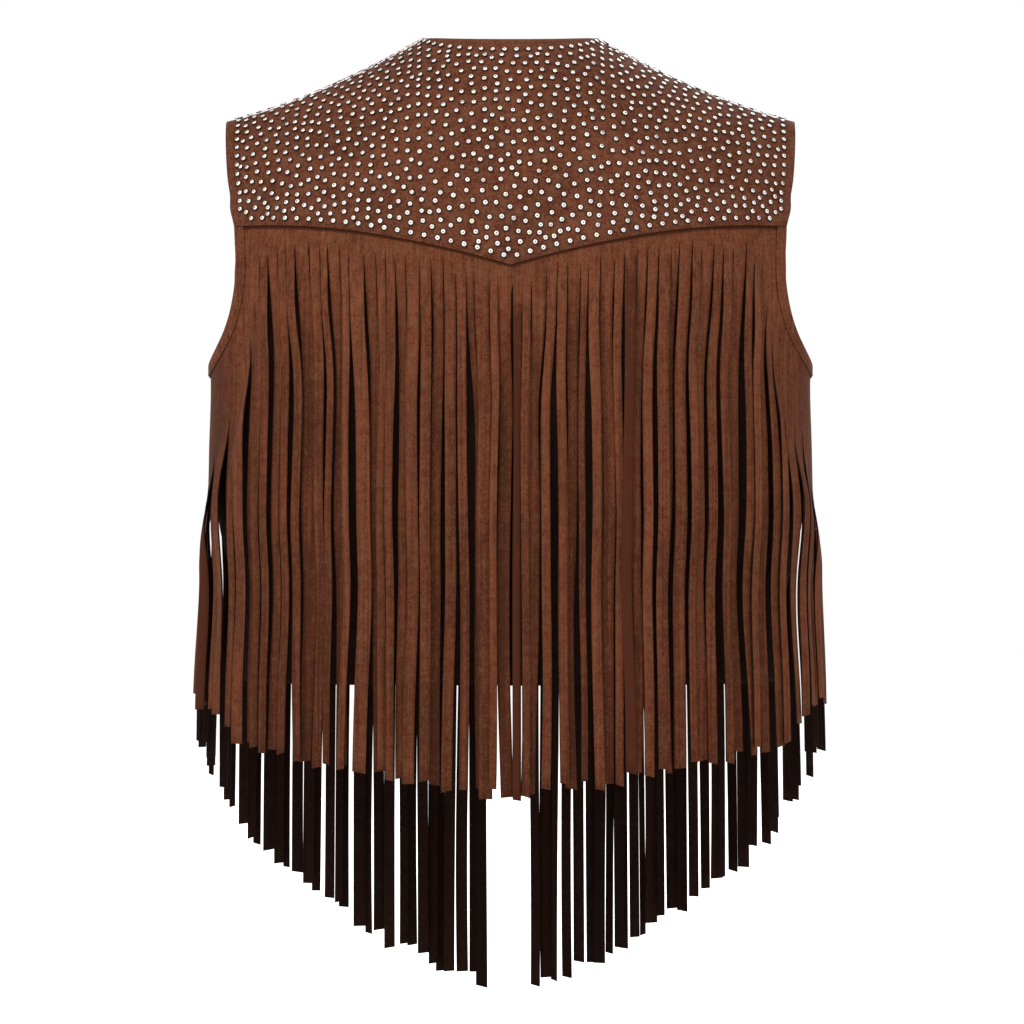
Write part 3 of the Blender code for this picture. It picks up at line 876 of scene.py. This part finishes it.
def new_piece(name, points, faces, materials, smooth=True):
    """A mesh object at the origin from an array of points and an array of faces."""
    mesh = bpy.data.meshes.new(name)
    mesh.from_pydata(np.asarray(points, np.float32).reshape(-1, 3), [], faces)
    mesh.update()
    mesh.polygons.foreach_set("use_smooth", np.full(len(mesh.polygons), smooth))
    for material in materials:
        mesh.materials.append(material)
    piece = bpy.data.objects.new(name, mesh)
    bpy.context.scene.collection.objects.link(piece)
    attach(piece, BODY)
    return piece


def thicken(piece, thickness):
    """Solidify outward: slot 0 is the flesh side and the cut edge, slot 1 the outer face."""
    solidify = piece.modifiers.new("Cloth", "SOLIDIFY")
    solidify.thickness = thickness
    solidify.offset = 1.0
    solidify.use_even_offset = False
    solidify.material_offset = 1
    solidify.material_offset_rim = 0


def facing(faces, turned):
    """Faces of a grid wound so that they face outward."""
    return faces if turned else faces[:, ::-1]


def area_of(points, faces):
    """Area of quads, each as two triangles."""
    a, b, c, d = (points[faces[:, i]] for i in range(4))
    halves = np.linalg.norm(np.cross(b - a, c - a), axis=1) + np.linalg.norm(np.cross(c - a, d - a), axis=1)
    return float(halves.sum() / 2.0)


def cloth_piece(name, cloth, turned, thickness, materials, node):
    """A panel of suede from its grid, thickened, in place of its solid."""
    rows, columns = cloth.base.shape[:2]
    faces = grid_quads(np.arange(rows * columns).reshape(rows, columns))
    piece = new_piece(name, cloth.base, facing(faces, turned), materials)
    thicken(piece, thickness)
    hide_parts(node)
    return piece, area_of(cloth.base.reshape(-1, 3), faces)


# Materials


class Shade:
    """A value inside a material: arithmetic on it adds the Math node that does the same."""

    def __init__(self, tree, socket):
        self.tree = tree
        self.socket = socket

    def math(self, operation, *values):
        return add_node(self.tree, "ShaderNodeMath", {"operation": operation}, dict(enumerate(values)))

    def __add__(self, other):
        return self.math("ADD", self, other)

    def __sub__(self, other):
        return self.math("SUBTRACT", self, other)

    def __rsub__(self, other):
        return self.math("SUBTRACT", other, self)

    def __mul__(self, other):
        return self.math("MULTIPLY", self, other)

    __radd__ = __add__
    __rmul__ = __mul__

    def clamped(self):
        return self.math("MINIMUM", self.math("MAXIMUM", self, 0.0), 1.0)


def plug(tree, slot, value):
    """Links a value into a socket, or writes a plain one on it."""
    if isinstance(value, Shade):
        tree.links.new(value.socket, slot)
    else:
        slot.default_value = value


def add_node(tree, kind, settings, inputs, output=0):
    """A node of a type: its settings first, then the values or links of its sockets."""
    made = tree.nodes.new(kind)
    for name, value in settings.items():
        setattr(made, name, value)
    for socket, value in inputs.items():
        plug(tree, made.inputs[socket], value)
    return Shade(tree, made.outputs[output])


class Finish:
    """A material with a Principled shader, and the nodes that this vest's finishes need."""

    def __init__(self, name, **uniform):
        self.material = bpy.data.materials.new(name)
        self.material.use_nodes = True
        self.tree = self.material.node_tree
        self.shader = self.tree.nodes["Principled BSDF"]
        for socket, value in uniform.items():
            self.shader.inputs[socket.replace("_", " ")].default_value = value

    def node(self, kind, settings, inputs, output=0):
        return add_node(self.tree, kind, settings, inputs, output)

    def place(self):
        """Object coordinates, in metres."""
        return self.node("ShaderNodeTexCoord", {}, {}, 3)

    def attribute(self, name, output):
        """An attribute of the mesh, as a colour (output 0) or as a number (output 2)."""
        return self.node("ShaderNodeAttribute", {"attribute_name": name}, {}, output)

    def noise(self, place, scale, detail=1.0, roughness=0.5):
        inputs = {"Vector": place, "Scale": scale, "Detail": detail, "Roughness": roughness}
        return self.node("ShaderNodeTexNoise", {}, inputs)

    def mix(self, share, first, second):
        """Colour between first and second."""
        inputs = {0: share, 6: first, 7: second}
        return self.node("ShaderNodeMix", {"data_type": "RGBA"}, inputs, 2)

    def surface(self, **sockets):
        """The material, with values or links on the shader's sockets."""
        for socket, value in sockets.items():
            plug(self.tree, self.shader.inputs[socket.replace("_", " ")], value)
        return self.material


def scaled(colour, factor):
    """A colour times a factor, at most white, with full alpha."""
    return (*(min(channel * factor, 1.0) for channel in colour), 1.0)


def tinted(colour, factor, tint):
    """A colour times a factor and, channel by channel, times a tint."""
    return scaled([channel * part for channel, part in zip(colour, tint)], factor)


def suede(name, colour, streak=0.0, sheen=0.05, contrast=1.0, grain=0.9):
    """Napped leather: brushed patches, a fine pile and, on strands, streaks that run down.

    The tone = patches, clouds, pile, streaks and the mesh's tone attribute, which holds random tone and
    painted shade, added;
    the colour runs from dark to light by it. hue = most of these in other shares; by it the colour runs
    from warm to cool.
    """
    finish = Finish(
        name,
        Roughness=0.9,
        Specular_IOR_Level=0.05,
        Sheen_Weight=sheen,
        Sheen_Roughness=0.6,
        Sheen_Tint=scaled(colour, 3.2),
    )
    place = finish.place()
    patches = finish.noise(place, PATCHES, 2.0, 0.55)
    cloudy = finish.noise(place, CLOUDS, 2.0, 0.6)
    pile = finish.noise(place, PILE, 1.0, 0.6)
    stretched = finish.node("ShaderNodeMapping", {}, {"Vector": place, "Scale": STREAKS})
    streaks = finish.noise(stretched, 1.0, 2.0, 0.5)
    own = finish.attribute("tone", 2)
    tone = (patches - 0.5) * (0.5 * contrast) + (cloudy - 0.5) * (0.9 * contrast) + (pile - 0.5) * grain
    tone = tone + (streaks - 0.5) * streak + own * 0.20 + 0.5
    hue = ((cloudy + pile - streaks * 0.4 - 0.8) * 2.4 + own * 0.1 + 0.5).clamped()
    warm = finish.mix(tone.clamped(), tinted(colour, 0.45, WARM), tinted(colour, 1.45, WARM))
    cool = finish.mix(tone.clamped(), tinted(colour, 0.45, COOL), tinted(colour, 1.45, COOL))
    height = pile * 0.7 + cloudy * 0.5 + streaks * streak
    bump = finish.node(
        "ShaderNodeBump", {}, {"Strength": 0.30, "Distance": NAP_DEPTH, "Height": height}
    )
    return finish.surface(
        Base_Color=finish.mix(hue, warm, cool), Roughness=0.80 + pile * 0.16, Normal=bump
    )


def thread_finish(name, colour):
    """Twisted thread: a slow light and dark along it, matt."""
    finish = Finish(name, Roughness=0.85, Specular_IOR_Level=0.08)
    twist = finish.noise(finish.place(), 1800.0)
    return finish.surface(Base_Color=finish.mix(twist.clamped(), scaled(colour, 0.6), scaled(colour, 1.5)))


def stone_finishes():
    """The setting under a stone, near-black in part as painted shadow; its bright crown tinted stone by
    stone; and its flat table, greyer as a painted dark reflection.
    """
    # The setting is the stone's dark rim, made near-black as painted shadow round each stone, with a mottle
    # of noise
    setting = Finish("stone_setting", Roughness=0.6, Specular_IOR_Level=0.1)
    setting_mottle = setting.noise(setting.place(), 600.0).clamped()
    setting.surface(Base_Color=setting.mix(setting_mottle, (0.007, 0.004, 0.003, 1.0), (0.018, 0.010, 0.008, 1.0)))
    crown = Finish("stone_crown", Roughness=0.15, Metallic=0.2, Coat_Weight=0.4, Coat_Roughness=0.03)
    crown.surface(Base_Color=crown.attribute("tint", 0))
    # The table's grey is a painted reflection of the dark camera side, mottled by noise
    table = Finish("stone_table", Roughness=0.25, Coat_Weight=0.15, Coat_Roughness=0.03)
    dark_reflection_mottle = table.noise(table.place(), 260.0).clamped()
    table.surface(Base_Color=table.mix(dark_reflection_mottle, (0.02, 0.02, 0.025, 1.0), (0.16, 0.14, 0.14, 1.0)))
    return [setting.material, crown.material, table.material]


# Stones and stitches


def nearest_of(places, stones):
    """Number of the nearest stone for each place, a share of the places at a time."""
    size = (stones**2).sum(axis=1)
    parts = [places[at : at + PLACES] for at in range(0, len(places), PLACES)]
    return np.concatenate([(size - 2.0 * part @ stones.T).argmin(axis=1) for part in parts])


def spread_stones(cloth, rows, margins, density, seed):
    """Points and normals of the stones: those of the rows, then loose ones that lie evenly between them.

    The loose stones start at seeded grid points of the panel. In each step every grid point goes to its
    nearest stone, and each loose stone moves to the middle of its grid points, weighed by their areas.
    A place on the panel is its grid row and its length across, as the grid's columns lie unevenly.
    """
    rng = np.random.default_rng(seed)
    placed, out = (np.concatenate(part) for part in zip(*rows))
    inside = np.all([distance > margin for distance, margin in margins], axis=0)
    sides = np.gradient(cloth.face, axis=0), np.gradient(cloth.face, axis=1)
    weight = np.linalg.norm(np.cross(*sides), axis=-1)[inside]
    lengths = cloth.from_first[len(cloth.face) // 2]

    def on_cloth(spots):
        return cloth.at(spots[:, 0], np.interp(spots[:, 1], lengths, np.arange(len(lengths))))

    spots = np.argwhere(inside).astype(float)
    spots[:, 1] = lengths[spots[:, 1].astype(int)]
    wanted = int(density * weight.sum() - ROW_SHARE * len(placed))
    # They start in strips of rows, an even area apart along each strip
    order = np.lexsort((spots[:, 1], spots[:, 0] // STRIP))
    reached = np.cumsum(weight[order])
    marks = (np.arange(wanted) + rng.uniform(0.0, 1.0, wanted)) * reached[-1] / wanted
    loose = spots[order[np.searchsorted(reached, marks)]]
    for _ in range(RELAX_STEPS):
        stones = np.concatenate([placed, on_cloth(loose)[0]])
        owner = nearest_of(cloth.face[inside], stones) - len(placed)
        held = owner >= 0
        total = np.bincount(owner[held], weight[held], wanted)
        middle = [np.bincount(owner[held], (weight * axis)[held], wanted) for axis in spots.T]
        moved = np.stack(middle, axis=-1) / np.maximum(total, 1e-12)[:, None]
        loose = np.where(total[:, None] > 0.0, moved, loose)
    found, normals = on_cloth(loose)
    return np.concatenate([placed, found]), np.concatenate([out, normals])


def read_along(values, length, marks):
    """Points or normals of a line at some of its running lengths."""
    return np.stack([np.interp(marks, length, values[:, axis]) for axis in range(3)], axis=-1)


def thinned(line, normals, pitch):
    """Points and normals of a line, read again an even pitch apart."""
    length = running_length(line)
    count = max(int(round(length[-1] / pitch)), 1)
    marks = (np.arange(count) + 0.5) * length[-1] / count
    return read_along(line, length, marks), unit(read_along(normals, length, marks))


def stone_mesh(places, out, radius, height, seed):
    """Each stone: rings of points from the profile and a centre, turned and tilted by seeded amounts.

    A ring's point = place + r (first cos a + second sin a) + h up. Gives the points, the quads, the
    triangles round each centre, the material slot of each face and the tint of each point.
    """
    rng = np.random.default_rng(seed)
    count, rings, sides = len(places), len(STONE_PROFILE), STONE_SIDES
    size = radius * (1.0 + STONE_UNEVEN * rng.uniform(-1.0, 1.0, count))
    spin = rng.uniform(0.0, TAU, count)
    level = np.where(np.abs(out[:, 2:3]) < 0.9, [[0.0, 0.0, 1.0]], [[1.0, 0.0, 0.0]])
    first = unit(np.cross(level, out))
    second = np.cross(out, first)
    tilt = rng.normal(0.0, STONE_TILT, (count, 2))
    up = unit(out + first * tilt[:, :1] + second * tilt[:, 1:])
    angle = spin[:, None, None] + TAU * (np.arange(sides) + 0.5 * (np.arange(rings)[:, None] % 2)) / sides
    ring = first[:, None, None] * np.cos(angle)[..., None]
    ring = ring + second[:, None, None] * np.sin(angle)[..., None]
    reach = size[:, None, None] * STONE_PROFILE[:, 0][None, :, None]
    points = places[:, None, None] + ring * reach[..., None]
    points = points + up[:, None, None] * (height * STONE_PROFILE[:, 1])[None, :, None, None]
    centre = (places + up * height)[:, None, :]
    points = np.concatenate([points.reshape(count, -1, 3), centre], axis=1)

    around = np.arange(sides)
    after = (around + 1) % sides
    low = np.arange(rings - 1)[:, None] * sides
    quads = np.stack([low + around, low + after, low + sides + after, low + sides + around], axis=-1)
    last = (rings - 1) * sides
    cap = np.stack([last + around, last + after, np.full(sides, rings * sides)], axis=-1)
    step = (np.arange(count) * (rings * sides + 1))[:, None, None]
    quads = (quads.reshape(-1, 4) + step).reshape(-1, 4)
    caps = (cap + step).reshape(-1, 3)
    slots = np.tile(np.repeat(BAND_FINISHES, sides), count)
    slots = np.concatenate([slots, np.full(len(caps), BAND_FINISHES[-1])])
    tint = STONE_TINTS[rng.choice(len(STONE_TINTS), size=count, p=STONE_TINTS[:, 3]), :3]
    return points.reshape(-1, 3), quads, caps, slots, np.repeat(tint, rings * sides + 1, axis=0)


def add_stones(name, places, out, stones, seed, materials):
    """The stones of one yoke as one joined mesh, with a tint for each."""
    points, quads, caps, slots, tint = stone_mesh(places, out, stones.radius, stones.height, seed)
    faces = [*map(tuple, quads.tolist()), *map(tuple, caps.tolist())]
    piece = new_piece(name, points, faces, materials, smooth=False)
    piece.data.polygons.foreach_set("material_index", slots.astype(np.int32))
    colour = piece.data.color_attributes.new("tint", "FLOAT_COLOR", "POINT")
    colour.data.foreach_set("color", np.concatenate([tint, np.ones((len(tint), 1))], axis=1).reshape(-1))
    return piece


def stitch_points(line, normals, stones):
    """Each stitch: rings of points along its line, r = R sqrt(1 - s^2), sunk half into the cloth."""
    length = running_length(line)
    count = max(int(length[-1] / stones.stitch_pitch), 1)
    middles = (np.arange(count) + 0.5) * length[-1] / count
    share = np.sin(np.linspace(-1.0, 1.0, STITCH_RINGS) * math.pi / 2 * 0.96)
    marks = middles[:, None] + share * stones.stitch_length / 2.0
    place = read_along(line, length, marks)
    out = unit(read_along(normals, length, marks))
    ahead = unit(place[:, -1:] - place[:, :1])
    aside = unit(np.cross(ahead, out))
    bulge = np.sqrt(1.0 - share**2 * 0.97)
    radius = stones.stitch_radius * bulge
    angle = TAU * np.arange(STITCH_SIDES) / STITCH_SIDES
    place = place + out * (stones.stitch_radius * (1.4 * bulge - 0.75))[..., None]
    ring = aside[:, :, None] * np.cos(angle)[:, None] + out[:, :, None] * np.sin(angle)[:, None]
    return place[:, :, None] + ring * radius[:, None, None]


def add_stitches(name, lines, stones, material):
    """All the stitches of some lines as one joined mesh of closed capsules."""
    points = np.concatenate([stitch_points(line, normals, stones) for line, normals in lines])
    count, rings, sides = points.shape[:3]
    index = np.arange(count * rings * sides).reshape(count, rings, sides)
    after = np.roll(index, -1, axis=2)
    quads = np.stack([index[:, :-1], after[:, :-1], after[:, 1:], index[:, 1:]], axis=-1).reshape(-1, 4)
    ends = [*map(tuple, index[:, 0, ::-1].tolist()), *map(tuple, index[:, -1].tolist())]
    piece = new_piece(name, points, [*map(tuple, quads.tolist()), *ends], [material])
    return piece


def armhole_line(front, side, away, lift):
    """Points and normals over the fringe's head along the lower armhole, a distance inside its edge.

    The distance is laid off square to the edge on the unrolled surface, where a step of angle is as long
    as the ring is there.
    """
    run = np.linspace(1.0, 0.0, 90) ** 1.7
    levels = ARMPIT + (SEAM_SIDE + 0.0035 - ARMPIT) * run
    angle = panel_side(levels, front)
    before = np.minimum(angle, SIDE_SEAM) - 0.004
    ring = on_rings(HANG, before + 0.004, levels) - on_rings(HANG, before, levels)
    stretch = np.linalg.norm(ring, axis=1) / 0.004
    around, down = np.gradient(angle) * stretch, np.gradient(levels)
    size = np.hypot(around, down)
    moved = angle + away * down / size / stretch
    height = levels - away * around / size
    turned = side * (math.pi - moved if front else moved)
    _, out = around_and_out(HANG, turned, height)
    return on_rings(HANG, turned, height) + out * lift, out


def add_band(name, front, side, material):
    """The turned edge of the lower armhole: a soft band over the head, raised between its two edges.

    Its height over the share s across it is (1 - (2s - 1)^6)^(1/2) of the fold's.
    """
    share = np.linspace(0.0, 1.0, 9)
    bulge = np.sqrt(np.clip(1.0 - (2.0 * share - 1.0) ** 6, 0.0, 1.0))
    edge = FRINGE_LIFT + SUEDE - BAND_SINK
    points = np.stack([
        armhole_line(front, side, FOLD_WIDTH * part, edge + (FOLD_HEIGHT + BAND_SINK) * high)[0]
        for part, high in zip(share, bulge)
    ])
    faces = grid_quads(np.arange(points.size // 3).reshape(points.shape[:2]))
    piece = new_piece(name, points, facing(faces, grid_out(points)[1]), [material])
    return piece


# Operators


YOKES = (
    # name, side, seed
    ("back_yoke", 0, 3),
    ("front_yoke_left", 1, 4),
    ("front_yoke_right", -1, 5),
)
PANELS = (
    # name, columns, front, side
    ("back_body", 150, False, 0),
    ("front_body_left", 80, True, 1),
    ("front_body_right", 80, True, -1),
)
FRINGES = (
    # name, front, side, ends, seed
    ("back_fringe", False, 0, BACK_ENDS, SEED),
    ("front_fringe_left", True, 1, FRONT_ENDS, SEED + 3),
    ("front_fringe_right", True, -1, FRONT_ENDS, SEED + 1),
)


class VEST_OT_yokes(bpy.types.Operator):
    """Make the three suede yokes with their stones and topstitching"""

    bl_idname = "vest.yokes"
    bl_label = "Yokes"

    def execute(self, context):
        settings, stones = context.scene.vest_cloth, context.scene.vest_stones
        face = suede("suede_yoke", settings.yoke_colour, contrast=1.4, grain=2.0)
        inside = suede("suede_inside", settings.inside_colour)
        thread = thread_finish("thread", settings.thread_colour)
        finishes = stone_finishes()
        away_from = {edge: away for edge, away, _, _ in STONE_ROWS}
        for name, side, seed in YOKES:
            cloth, turned = front_yoke_cloth(side) if side else back_yoke_cloth()
            piece, area = cloth_piece(
                name + "_cloth", cloth, turned, YOKE_SUEDE, [inside, face], name
            )
            # A front yoke's top edge is its shoulder seam, which has neither a row of stones nor stitches
            edges = ("from_hem", "from_first", "from_last") + (() if side else ("from_top",))
            rows = [
                thinned(*cloth.line(edge, away, span), pitch)
                for edge, away, span, pitch in STONE_ROWS if edge in edges
            ]
            at_neck = (np.abs(cloth.face[..., 0]) < NECK_HALF + NECK_EASE) & (side == 0)
            margins = [(getattr(cloth, edge), away_from[edge]) for edge in edges[:3]]
            margins.append((cloth.from_top, np.where(at_neck, away_from["from_top"], SEAM_SETBACK)))
            places, out = spread_stones(cloth, rows, margins, stones.density, seed)
            gems = add_stones(name + "_stones", places, out, stones, seed + 20, finishes)
            lines = [cloth.line(*sewing) for sewing in YOKE_SEWING if sewing[0] in edges]
            sewing = add_stitches(name + "_stitching", lines, stones, thread)
        return {"FINISHED"}


class VEST_OT_panels(bpy.types.Operator):
    """Make the plain suede panels that the fringe hangs on"""

    bl_idname = "vest.panels"
    bl_label = "Panels"

    def execute(self, context):
        settings, stones = context.scene.vest_cloth, context.scene.vest_stones
        # The panels and their stitches take the near-black painted shadow colour
        face = suede("suede_body", settings.body_colour)
        inside = bpy.data.materials["suede_inside"]
        thread = thread_finish("thread_body", settings.body_colour)
        for name, columns, front, side in PANELS:
            cloth, turned = body_cloth(columns, front, side)
            piece, area = cloth_piece(
                name + "_cloth", cloth, turned, SUEDE, [inside, face], name
            )
            lines = [cloth.line("from_hem", PANEL_HEM_SEWING)]
            if side:
                lines.append(cloth.line(*FRONT_EDGE_SEWING))
            sewing = add_stitches(name + "_stitching", lines, stones, thread)
        return {"FINISHED"}


class VEST_OT_fringe(bpy.types.Operator):
    """Make the long cut fringe: a head under each yoke and its hanging strands"""

    bl_idname = "vest.fringe"
    bl_label = "Fringe"

    def execute(self, context):
        settings, stones = context.scene.vest_cloth, context.scene.vest_stones
        face = suede("suede_fringe", settings.fringe_colour, streak=1.15, contrast=0.9, grain=1.3)
        # Flesh side and cut edges of the fringe: dark suede, darkened further as painted shade
        reverse_and_shade = suede("suede_reverse", settings.reverse_and_shade_colour, streak=0.4, sheen=0.0)
        thread = bpy.data.materials["thread"]
        for name, front, side, ends, seed in FRINGES:
            fringe = Fringe(front, side, ends, seed, settings)
            piece = new_piece(
                name + "_cloth", fringe.points, facing(fringe.faces, fringe.turned), [reverse_and_shade, face]
            )
            tone = piece.data.attributes.new("tone", "FLOAT", "POINT")
            tone.data.foreach_set("value", fringe.tone.astype(np.float32))
            thicken(piece, SUEDE)
            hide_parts(name)
            sides = (side,) if side else (1, -1)
            bands = [add_band(f"{name}_band_{number}", front, at, face) for number, at in enumerate(sides)]
            over = FRINGE_LIFT + SUEDE + FOLD_HEIGHT
            lines = [armhole_line(front, at, EDGE_SEWING, over) for at in sides]
            sewing = add_stitches(name + "_stitching", lines, stones, thread)
            area_of(fringe.points, fringe.faces)
        return {"FINISHED"}


def add_to_scene(name, data, place=(0.0, 0.0, 0.0), turn=(0.0, 0.0, 0.0)):
    """An object of the stage, at its place and turned."""
    made = bpy.data.objects.new(name, data)
    made.location = place
    made.rotation_euler = turn
    bpy.context.scene.collection.objects.link(made)
    return made


def add_floor():
    """A wide pale floor under the longest strands."""
    mesh = bpy.data.meshes.new("floor")
    half = FLOOR_WIDTH / 2.0
    corners = [(-half, -half), (half, -half), (half, half), (-half, half)]
    mesh.from_pydata([(x, y, FLOOR_LEVEL) for x, y in corners], [], [(0, 1, 2, 3)])
    finish = Finish("floor", Roughness=0.9, Specular_IOR_Level=0.1, Emission_Strength=0.15)
    finish.shader.inputs["Emission Color"].default_value = WHITE
    grain = finish.noise(finish.place(), 4.0)
    finish.surface(Base_Color=finish.mix(grain, (0.88, 0.88, 0.88, 1.0), (0.92, 0.92, 0.92, 1.0)))
    mesh.materials.append(finish.material)
    add_to_scene("floor", mesh)


def add_lamps(settings):
    """Round soft lamps, each turned to the middle of the vest."""
    for name, place, size, power in LAMPS:
        lamp = bpy.data.lights.new(name, "AREA")
        lamp.shape = "DISK"
        lamp.size = size
        lamp.energy = getattr(settings, power)
        away = np.array(place) - np.array([0.0, 0.0, CAMERA_PLACE[2]])
        level = math.hypot(away[0], away[1])
        turn = (math.atan2(level, away[2]), 0.0, math.atan2(away[0], -away[1]))
        add_to_scene(name, lamp, place, turn)


class VEST_OT_stage(bpy.types.Operator):
    """Make the pale floor, the white surroundings, the soft lights and the camera"""

    bl_idname = "vest.stage"
    bl_label = "Stage"

    def execute(self, context):
        settings = context.scene.vest_stage
        context.scene.view_settings.view_transform = "Standard"
        add_floor()
        add_lamps(settings)

        world = bpy.data.worlds.new("studio")
        world.use_nodes = True
        background = world.node_tree.nodes["Background"]
        background.inputs["Color"].default_value = WHITE
        background.inputs["Strength"].default_value = settings.sky
        context.scene.world = world

        lens = bpy.data.cameras.new("camera")
        lens.sensor_width = SENSOR * 1000.0
        lens.lens = SENSOR * 1000.0 * CAMERA_PLACE[1] / FRAME_WIDTH
        context.scene.camera = add_to_scene("camera", lens, CAMERA_PLACE, (math.pi / 2, 0.0, math.pi))
        return {"FINISHED"}


class VEST_PT_panel(bpy.types.Panel):
    """Sidebar panel that lists the vest's operators"""

    bl_idname = "VEST_PT_panel"
    bl_label = "Western Vest"
    bl_space_type = "VIEW_3D"
    bl_region_type = "UI"
    bl_category = "Vest"

    def draw(self, context):
        for operator in OPERATORS:
            self.layout.operator(operator.bl_idname)
        for group in (context.scene.vest_cloth, context.scene.vest_stones, context.scene.vest_stage):
            box = self.layout.box()
            for name in group.__annotations__:
                box.prop(group, name)


GROUPS = (("vest_cloth", VestCloth), ("vest_stones", VestStones), ("vest_stage", VestStage))
OPERATORS = (VEST_OT_yokes, VEST_OT_panels, VEST_OT_fringe, VEST_OT_stage)


def register():
    for name, group in GROUPS:
        bpy.utils.register_class(group)
        setattr(bpy.types.Scene, name, bpy.props.PointerProperty(type=group))
    for operator in OPERATORS:
        bpy.utils.register_class(operator)
    bpy.utils.register_class(VEST_PT_panel)


def unregister():
    bpy.utils.unregister_class(VEST_PT_panel)
    for operator in reversed(OPERATORS):
        bpy.utils.unregister_class(operator)
    for name, group in reversed(GROUPS):
        delattr(bpy.types.Scene, name)
        bpy.utils.unregister_class(group)


def main():
    for old in list(bpy.data.objects):
        if old.name in ("Cube", "Light", "Camera"):
            bpy.data.objects.remove(old, do_unlink=True)
    register()
    bpy.ops.vest.yokes()
    bpy.ops.vest.panels()
    bpy.ops.vest.fringe()
    bpy.ops.vest.stage()


if __name__ == "__main__":
    main()
